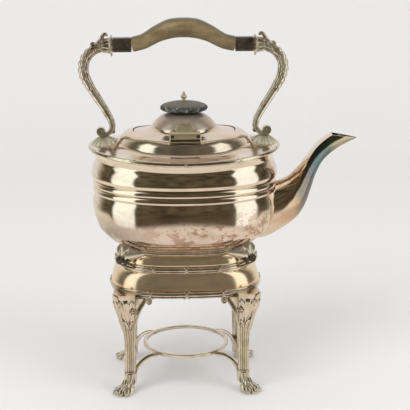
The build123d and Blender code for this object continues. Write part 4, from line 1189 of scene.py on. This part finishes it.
def starShape():
    # Four pointed petals round a raised middle.
    x, depth, z = mount["star"]
    rings = []
    for row in range(9):
        t = row / 8
        ring = []
        for k in range(48):
            angle = 2 * pi * k / 48
            petal = abs(cos(2 * angle))
            r = mount["starReach"] * (0.58 + 0.42 * petal ** 1.4) * t + 0.05
            bulge = 1.5 * (1 - t ** 1.5) + 0.6 * petal * sin(pi * t)
            ring.append(Vector((x + r * cos(angle), depth + 0.5 + bulge, z + r * sin(angle))))
        rings.append(ring)
    rings.append([Vector((v.x, depth - 0.8, v.z)) for v in rings[-1]])
    return joined(skin(rings), ball((x, depth + 1.9, z), (1.5, 0.9, 1.5), 8, 16))


def buildMounts():
    # Lugs on the kettle; on the stand, the cradles that rise under their pins, and a star by each.
    strip = band(flatPath(mount["hook"], 6), 1.25, 1.5, 2.6, 18)
    web = band(flatPath(mount["hookWeb"]), 2.6, 1.2, 2.4, 16, 0.5)
    hook = placed(joined(strip, web), False, mount["hookDepth"])
    atCorners(
        ("lug_", joined(fanShape(), wingShape()), paleCastFinish, "kettle", "kettle_lug_", None),
        ("hook_", hook, castFinish, "stand", "stand_hook_", None),
        ("hookStar_", starShape(), darkFinish, "stand", None, "cast_plate"))


handle = {
    # x, height and half width down the arm, from the flange to the scroll
    "arm": [
        (69, 326.9, 4.5), (76, 326, 4.6), (84.2, 322.2, 4.7), (90.2, 315.6, 4.8), (92.6, 307.4, 4.9),
        (91.4, 298.6, 4.7), (86.6, 288.6, 4.3), (79.8, 277.4, 4), (73, 266.4, 3.7), (68.2, 257, 3.3),
        (67.2, 250.6, 2.9), (69.6, 246.2, 2.5), (73.6, 243.7, 2.1)],
    "armHalfY": 4, "leafLength": 60, "leafStep": 5.6, "ropeFrom": 52, "ropeStep": 2.5,
    "berryStep": 3.4, "berryRange": (3, 58),
    "berries": [(0.4, 1.5, 3.9), (2.2, 1.2, 3.5), (3.2, 1.3, 2.6)],  # how far out, size, to the side
    "leafTip": [(85, 324.4), (81, 327.2), (77.6, 330.8), (75.4, 334.2), (73.8, 337), (72, 338.2),
                (70.6, 337.2), (71.2, 335.8)],
    "curls": [((76.6, 329.4), 3.2), ((83.4, 327.6), 2.4)], "curlSide": 3.7,
    "volute": (77.8, 247.4), "voluteRadius": 4.9, "voluteHalfY": 4.6,
    "voluteDisc": [(-2.5, 0.4), (-2.6, 2.9), (-2.3, 3.9), (2.3, 3.9), (2.6, 2.9), (2.5, 0.4)],
    "voluteLeaf": [(69.4, 250.6), (66.9, 249.8), (65.2, 247.8), (65.6, 245.6), (67.2, 245.2)],
    "axisZ": 328, "insulator": (47.9, 65.4), "insulatorHalf": (6.6, 6.8),
    # x, half width, half height and how lobed the flange is there
    "flange": [
        (65.5, 6.4, 8, 0), (65.55, 7, 9.4, 0), (66, 7.5, 10.1, 0), (66.8, 7.5, 10.1, 0), (67.3, 6.6, 9, 0),
        (67.9, 6, 7.4, 0.3), (70, 6, 6.9, 0.8), (72.5, 5.8, 6.6, 1.1), (74.6, 5.2, 5.9, 1.2),
        (74.7, 3.6, 4.2, 0)],
    # x, height, half height, half width
    "grip": [(0, 343.4, 9, 8.4), (6, 343.2, 9, 8.4), (12, 342.3, 8.9, 8.4), (18, 340.3, 8.3, 8.2),
             (25, 337.3, 7.6, 8), (31.5, 333.6, 7.1, 7.7), (38, 330.4, 6.9, 7.3), (47.8, 328, 6.9, 6.7)],
    "shell": (75.2, 13.2, 16.2), "shellCrown": 6.2, "shellFlute": 2.1,
}


def armRing(half, arc):
    # One side, from the outer edge to the inner: leafy or roped edge, ridge, flat band, round bead.
    leafFade = min(1.0, max(0.0, (handle["leafLength"] - arc) / 8)) * min(1.0, arc / 5)
    ropeFade = min(1.0, max(0.0, (arc - handle["ropeFrom"]) / 8))
    rope = ropeFade * 0.55 * (abs(sin(pi * arc / handle["ropeStep"])) ** 0.7 - 0.5)
    pairs = []
    for step in range(41):
        a = cos(pi * step / 40)
        b = (1 - abs(a) ** 2.7) ** (1 / 2.7)
        edge = max(0.0, min(1.0, (a - 0.28) / 0.25))
        bead = max(0.0, 1 - ((a + 0.60) / 0.38) ** 2) ** 0.5
        b *= 1 - 0.30 * (1 - edge) * (1 - bead)
        b += 0.13 * max(0.0, 1 - abs(a - 0.26) / 0.09)
        lobe = abs(sin(pi * (arc / handle["leafStep"] + 0.55 * (1 - a)))) ** 0.8
        out = edge * (leafFade * (1.15 * lobe - 0.5) + rope)
        pairs.append((half * a + out * max(0.0, a) ** 0.5, handle["armHalfY"] * b + out * 0.6 * b))
    return pairs + [(a, -b) for a, b in reversed(pairs[1:-1])]


def armBerries(path):
    # Three rows in turn, along the leafy part of the arm.
    shapes, arc = [], 0.0
    (first, last), gap = handle["berryRange"], handle["berryStep"]
    for before, point in zip(path, path[1:]):
        step = (point - before).length
        if int((arc + step) / gap) > int(arc / gap) and first < arc < last:
            out, size, side = handle["berries"][int(arc / gap) % 3]
            run = (point - before) / step
            x, z = point.x + run.z * out, point.z - run.x * out
            shapes += [ball((x, sign * side, z), (size, 1.1, size), 6, 10) for sign in (-1, 1)]
        arc += step
    return shapes


def armShape():
    stations = smoothed(handle["arm"], 22)
    path = [Vector((x, 0, z)) for x, z, half in stations]
    stem = swept(path, lambda index, arc: armRing(stations[index][2], arc))
    tip = flatPath(handle["leafTip"], 5)

    def tipRing(index, arc):
        share = index / len(tip)
        return ovalLoop(2.9 - 2.0 * share, 4.0 - 2.5 * share, 2.2, 20)
    curls = [band(spiralPath(centre, radius, 0.7, 20, 1.3, 30), 0.75, 0.8, 2.2, 10, 0.3, side)
             for side in (-handle["curlSide"], handle["curlSide"]) for centre, radius in handle["curls"]]
    return joined(stem, swept(tip, tipRing), *armBerries(path), *curls)


def voluteShape():
    # The scroll that ends each arm: an open spiral strip round a sunk disc and a raised eye.
    x, z = handle["volute"]
    curl = spiralPath((x, z), handle["voluteRadius"], 1.9, 222, 1.5, 60)
    spiral = band(curl, 0.95, handle["voluteHalfY"], 2.6, 24, 0.35)
    disc = skin([[Vector((x + a, depth, z - b)) for a, b in ovalLoop(radius, radius, 2, 24)]
                 for depth, radius in handle["voluteDisc"]])
    leaf = band(flatPath(handle["voluteLeaf"], 6), 0.9, 3.2, 2.4, 18, 0.3)
    return joined(spiral, disc, ball((x, 0, z), (1.3, 4.9, 1.3), 10, 16), leaf)


def flangeShape():
    rings = []
    for x, halfY, halfZ, lobes in handle["flange"]:
        ring = []
        for k, (a, b) in enumerate(ovalLoop(halfY, halfZ, 2, 96)):
            lobe = abs(cos(4 * 2 * pi * k / 96)) ** 0.7
            shrink = 1 - 0.12 * lobes * (1 - lobe)
            ring.append(Vector((x + lobes * 1.1 * lobe, a * shrink, handle["axisZ"] - 0.8 + b * shrink)))
        rings.append(ring)
    return skin(rings)


def insulatorBlock(ends):
    # ends: x and how far the block stands out or in there
    halfY, halfZ = handle["insulatorHalf"]
    rings = []
    for x, grow in ends:
        loop = ovalLoop(halfY + grow, halfZ + grow, 4.2, 72)
        rings.append([Vector((x, a, handle["axisZ"] + b)) for a, b in loop])
    return skin(rings)


def insulatorBand(middle, half):
    # A thin bright washer round one end of the dark block.
    return insulatorBlock([(middle - half, -0.3), (middle - half * 0.6, 0.14), (middle + half * 0.6, 0.14),
                           (middle + half, -0.3)])


def gripShape():
    half = smoothed(handle["grip"], 7)
    whole = [(-x, z, h, w) for x, z, h, w in reversed(half[1:])] + half

    def ring(index, arc):
        tall, wide = whole[index][2:]
        shrink = (0.5, 0.12, 0.0)[min(index, len(whole) - 1 - index, 2)]  # the ends are slightly rounded
        return ovalLoop(tall - shrink, wide - shrink, 2.9, 72)
    return swept([Vector((x, 0, z)) for x, z, h, w in whole], ring)


deck = smoothed(kettle["shoulder"], 3)


def shellHeight(x, y):
    # The deck's height at a place, from the shoulder's profile.
    previous = None
    for halfX, halfY, power, z in deck:
        value = (abs(x) / halfX) ** power + (abs(y) / halfY) ** power
        if previous and value >= 1:
            share = (1 - previous[0]) / (value - previous[0])
            level = previous[1] + (z - previous[1]) * share
            return level + upsweep(x, previous[2] + (halfX - previous[2]) * share, level)
        previous = (value, z, halfX)
    return deck[-1][3]


def shellShape():
    # A fluted shell that lies on the deck under the scroll, sixteen petals round.
    centreX, halfX, halfY = handle["shell"]
    columns = []
    for step in range(144):
        angle = 2 * pi * step / 144
        flute = abs(cos(8 * angle)) ** 0.8
        rx, ry = ovalPoint(angle, halfX * (0.90 + 0.09 * flute), halfY * (0.90 + 0.09 * flute), 2.1)
        column = []
        for row in range(16):
            t = 1 - row / 16
            x, y = centreX + rx * t + 1.5 * (1 - t), ry * t
            crown = handle["shellCrown"] * (1 - t) ** 1.2
            ridge = handle["shellFlute"] * flute * sin(pi * min(1, 0.12 + t * 0.88))
            column.append(Vector((x, y, shellHeight(x, y) + 0.25 + crown + ridge)))
        edge = column[0]
        columns.append([Vector((edge.x, edge.y, shellHeight(edge.x, edge.y) - 0.4)), *column])
    return skin([list(ring) for ring in zip(*columns)])


def buildHandle():
    start, end = handle["insulator"]
    block = insulatorBlock([(start, -0.9), (start + 0.15, -0.35), (start + 0.5, 0), (end - 0.5, 0),
                            (end - 0.15, -0.3), (end, -0.8)])
    bands = joined(insulatorBand(start + 0.25, 0.25), insulatorBand(end - 0.55, 0.45))
    shapes = {
        "arm": (armShape(), armFinish, "handle_arm_"), "flange": (flangeShape(), armFinish, "handle_flange_"),
        "volute": (voluteShape(), paleCastFinish, None),
        "insulator": (block, hornFinish, "handle_insulator_"),
        "shell": (shellShape(), paleCastFinish, "handle_shell_"),
        "insulatorBand": (bands, armFinish, None)}
    for side, sign in (("right", 1), ("left", -1)):
        for name, (shape, finish, node) in shapes.items():
            nodes, slot = ([node + side], None) if node else ((), "cast_plate")
            makePiece(name + "_" + side, turned(shape, sign, 1), finish, "kettle", nodes)
    makePiece("grip", gripShape(), gripFinish, "kettle", ["handle_grip"])


finial = {
    "half": (22.3, 18.6), "bottom": 265.3, "urnBottom": 275.3, "ruffle": 0.02,
    # share of the half widths, height over the bottom
    "disc": [
        (0.05, 0.05), (0.50, 0), (0.74, 0.25), (0.90, 0.9), (0.975, 2), (1, 3.3), (0.995, 4.4), (0.96, 5.5),
        (0.88, 6.6), (0.76, 7.6), (0.60, 8.5), (0.42, 9.2), (0.24, 9.7), (0.05, 9.85)],
    # radius and height over the urn's own bottom
    "urn": [
        (0.2, 0), (3, 0.05), (3.1, 0.5), (2.2, 0.8), (1.5, 1.3), (1.5, 1.7), (2.3, 2.2), (3, 3.1), (3.15, 4),
        (2.7, 4.9), (1.8, 5.5), (1.5, 5.8), (1.9, 6.1), (1.6, 6.5), (1.1, 7.1), (1.25, 7.7), (0.9, 8.4),
        (0.1, 8.75)],
}


def buildFinial():
    halfX, halfY = finial["half"]
    rings = []
    for share, up in smoothed(finial["disc"], 6):
        ring = ovalRing(halfX * share, halfY * share, 2, finial["bottom"] + up, 240)
        edge = max(0.0, 1 - abs(up - 3.6) / 3)
        for k, point in enumerate(ring):
            angle = 2 * pi * k / len(ring)
            wave = 0.55 * sin(23 * angle + 4 * sin(3 * angle) + 0.9 * up) + 0.35 * sin(49 * angle - 2.1 * up)
            point.x *= 1 + finial["ruffle"] * edge * (wave - 0.6)
            point.y *= 1 + finial["ruffle"] * edge * (wave - 0.6)
        rings.append(ring)
    makePiece("finialDisc", skin(rings), discFinish, "lid", ["finial_disc"])
    profile = [(r, finial["urnBottom"] + up) for r, up in smoothed(finial["urn"], 3)]
    makePiece("finialUrn", lathe(profile, count=64, flutes=8, depth=0.10), brassFinish, "lid", ["finial_urn"])


buildStandRings()
buildLegs()
atCorners(("paw_", pawShape(), castFinish, "stand", "paw_", None))
buildTies()
print("stand done")
buildMounts()
buildHandle()
buildFinial()
print("mounts, handle and finial done")

room = {
    "floorSize": 6, "wallBack": 1.6, "wallHeight": 3, "sweepRadius": 0.7, "backdropGrey": (0.80, 0.80, 0.80),
    "surroundRadius": 2.4, "surroundStart": 0.115, "surroundHeight": 2.4, "surroundFloor": 0.0006,
    "darkLow": (0.045, 0.038, 0.021), "darkHigh": (0.150, 0.130, 0.080), "backdrop": (0.80, 0.76, 0.68),
    "ceiling": (0.50, 0.47, 0.42), "window": (1.24, 1.34, 1.28), "paper": (0.86, 0.81, 0.72),
    "worldColour": (1.0, 0.985, 0.975, 1.0), "worldStrength": 0.75, "lampAim": (0, 0, 0.15), "lampSize": 1.4,
    "lamps": {"keyLight": ((-1.3, -1.5, 1.9), 26), "fillLight": ((1.6, -1.2, 1.5), 16)},  # place and power
}


def stageObject(name, verts, faces, material, smooth):
    mesh = bpy.data.meshes.new(name)
    mesh.from_pydata(verts, [], faces)
    mesh.polygons.foreach_set("use_smooth", [smooth] * len(mesh.polygons))
    mesh.materials.append(material)
    sheet = bpy.data.objects.new(name, mesh)
    link(sheet)
    return sheet


def buildBackdrop():
    # One sheet: the floor, a round sweep and the wall behind.
    half, back, radius = room["floorSize"] / 2, room["wallBack"], room["sweepRadius"]
    profile = [(-half, 0), (back - radius, 0)]
    for step in range(1, 17):
        angle = pi / 2 * step / 16
        profile.append((back - radius + radius * sin(angle), radius * (1 - cos(angle))))
    profile.append((back, room["wallHeight"]))
    verts = [Vector((x, y, z)) for y, z in profile for x in (-half, half)]
    faces = [(2 * i, 2 * i + 1, 2 * i + 3, 2 * i + 2) for i in range(len(profile) - 1)]
    paper = Finish("backdropPaper").set(colour=room["backdropGrey"], roughness=0.9, specular=0.0)
    sheet = stageObject("backdrop", verts, faces, paper, True)


def surroundFinish():
    # Painted reflections: a dark room behind the camera between two tall glowing windows, pale walls, and
    # paper round the stand.
    finish = Finish("surroundLight")
    side = finish.x.maths("ARCTAN2", finish.y * -1.0).maths("ABSOLUTE")
    flat = (finish.x * finish.x + finish.y * finish.y) ** 0.5
    climb = (finish.z - 0.18).maths("ARCTAN2", flat)
    clutter = finish.noise(1.7, 3.0, 0.6, stretch=(1.0, 1.0, 0.6)).between(0.30, 0.70)
    colour = finish.blend(clutter, room["darkLow"], room["darkHigh"])
    colour = finish.blend(side.between(1.75, 2.35), colour, room["backdrop"])
    colour = finish.blend(climb.between(1.22, 1.36), colour, room["ceiling"])
    window = side.between(0.84, 0.90) * (1 - side.between(1.40, 1.50)) * (1 - climb.between(1.0, 1.1))
    colour = finish.blend(window, colour, room["window"])
    reach = flat - side.between(1.2, 1.7) * 0.25
    paper = (1 - reach.between(0.30, 0.42)) * (1 - finish.z.between(0.01, 0.02))
    colour = finish.blend(paper, colour, room["paper"])
    emission = finish.node("ShaderNodeEmission", {}, {"Color": colour, "Strength": 1.0})
    finish.tree.links.new(emission.socket, finish.tree.nodes["Material Output"].inputs["Surface"])
    return finish.material


def buildSurround():
    # A dome that only reflections see.
    start, radius, height = room["surroundStart"], room["surroundRadius"], room["surroundHeight"]
    profile = [(r, room["surroundFloor"]) for r in (start, 0.3, 0.6, 1.2, radius)]
    profile += [(radius, 0.6), (radius, 1.3), (radius * 0.9, height * 0.8), (radius * 0.6, height),
                (radius * 0.25, height * 1.05), (0.001, height * 1.06)]
    rings = [[Vector((x, y, z)) for x, y in ovalLoop(r, r, 2, 96)] for r, z in profile]
    dome = stageObject("surround", *skin(rings, capped=False), surroundFinish(), False)
    for ray in ("camera", "diffuse", "shadow", "transmission"):
        setattr(dome, "visible_" + ray, False)


def buildLights():
    world = bpy.data.worlds.new("studio")
    bpy.context.scene.world = world
    world.use_nodes = True
    sky = world.node_tree.nodes["Background"].inputs
    sky["Color"].default_value = room["worldColour"]
    sky["Strength"].default_value = room["worldStrength"]
    for name, (place, power) in room["lamps"].items():
        lamp = bpy.data.lights.new(name, "AREA")
        lamp.size = room["lampSize"]
        lamp.energy = power
        holder = bpy.data.objects.new(name, lamp)
        holder.location = place
        aim = Vector(room["lampAim"]) - Vector(place)
        holder.rotation_euler = aim.to_track_quat("-Z", "Y").to_euler()
        holder.visible_glossy = False
        link(holder)


cameraFit = {
    "place": (-0.02644, -1.09987, 0.46477), "heading": -2.39, "down": 14.81, "roll": -0.21,
    "focalPixels": 1187.24, "imagePixels": 410, "sensor": 36,
}


def buildCamera():
    heading, down, roll = (radians(cameraFit[key]) for key in ("heading", "down", "roll"))
    ahead = Vector((-sin(heading) * cos(down), cos(heading) * cos(down), -sin(down)))
    right = Vector((cos(heading), sin(heading), 0))
    up = right.cross(ahead)
    turnedRight = right * cos(roll) + up * sin(roll)
    turnedUp = up * cos(roll) - right * sin(roll)
    data = bpy.data.cameras.new("camera")
    data.sensor_width = cameraFit["sensor"]
    data.lens = cameraFit["focalPixels"] * cameraFit["sensor"] / cameraFit["imagePixels"]
    data.clip_end = 20
    camera = bpy.data.objects.new("camera", data)
    axes = Matrix((turnedRight, turnedUp, -ahead)).transposed().to_4x4()
    camera.matrix_world = Matrix.Translation(cameraFit["place"]) @ axes
    link(camera)
    bpy.context.scene.camera = camera


buildBackdrop()
buildSurround()
buildLights()
buildCamera()
bpy.context.scene.view_settings.view_transform = "Standard"

nodeFinishes = {
    "lid_hinge_leaf": brassFinish, "hinge_body_leaf": strapFinish, "hinge_pin": darkFinish,
    "trunnion_front_left": darkFinish, "trunnion_back_left": darkFinish, "tilt_pin_front_right": darkFinish,
    "tilt_pin_back_right": darkFinish, "lid_seat": bodyFinish, "lid_bezel": bodyFinish,
    "finial_nut": brassFinish}  # the rest are cast plate
for name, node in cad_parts.items():
    node.data.materials.clear()
    node.data.materials.append(nodeFinishes.get(name, castFinish))
    for polygon in node.data.polygons:
        polygon.material_index = 0
    if not node.hide_render:
        markHollows(node.data)
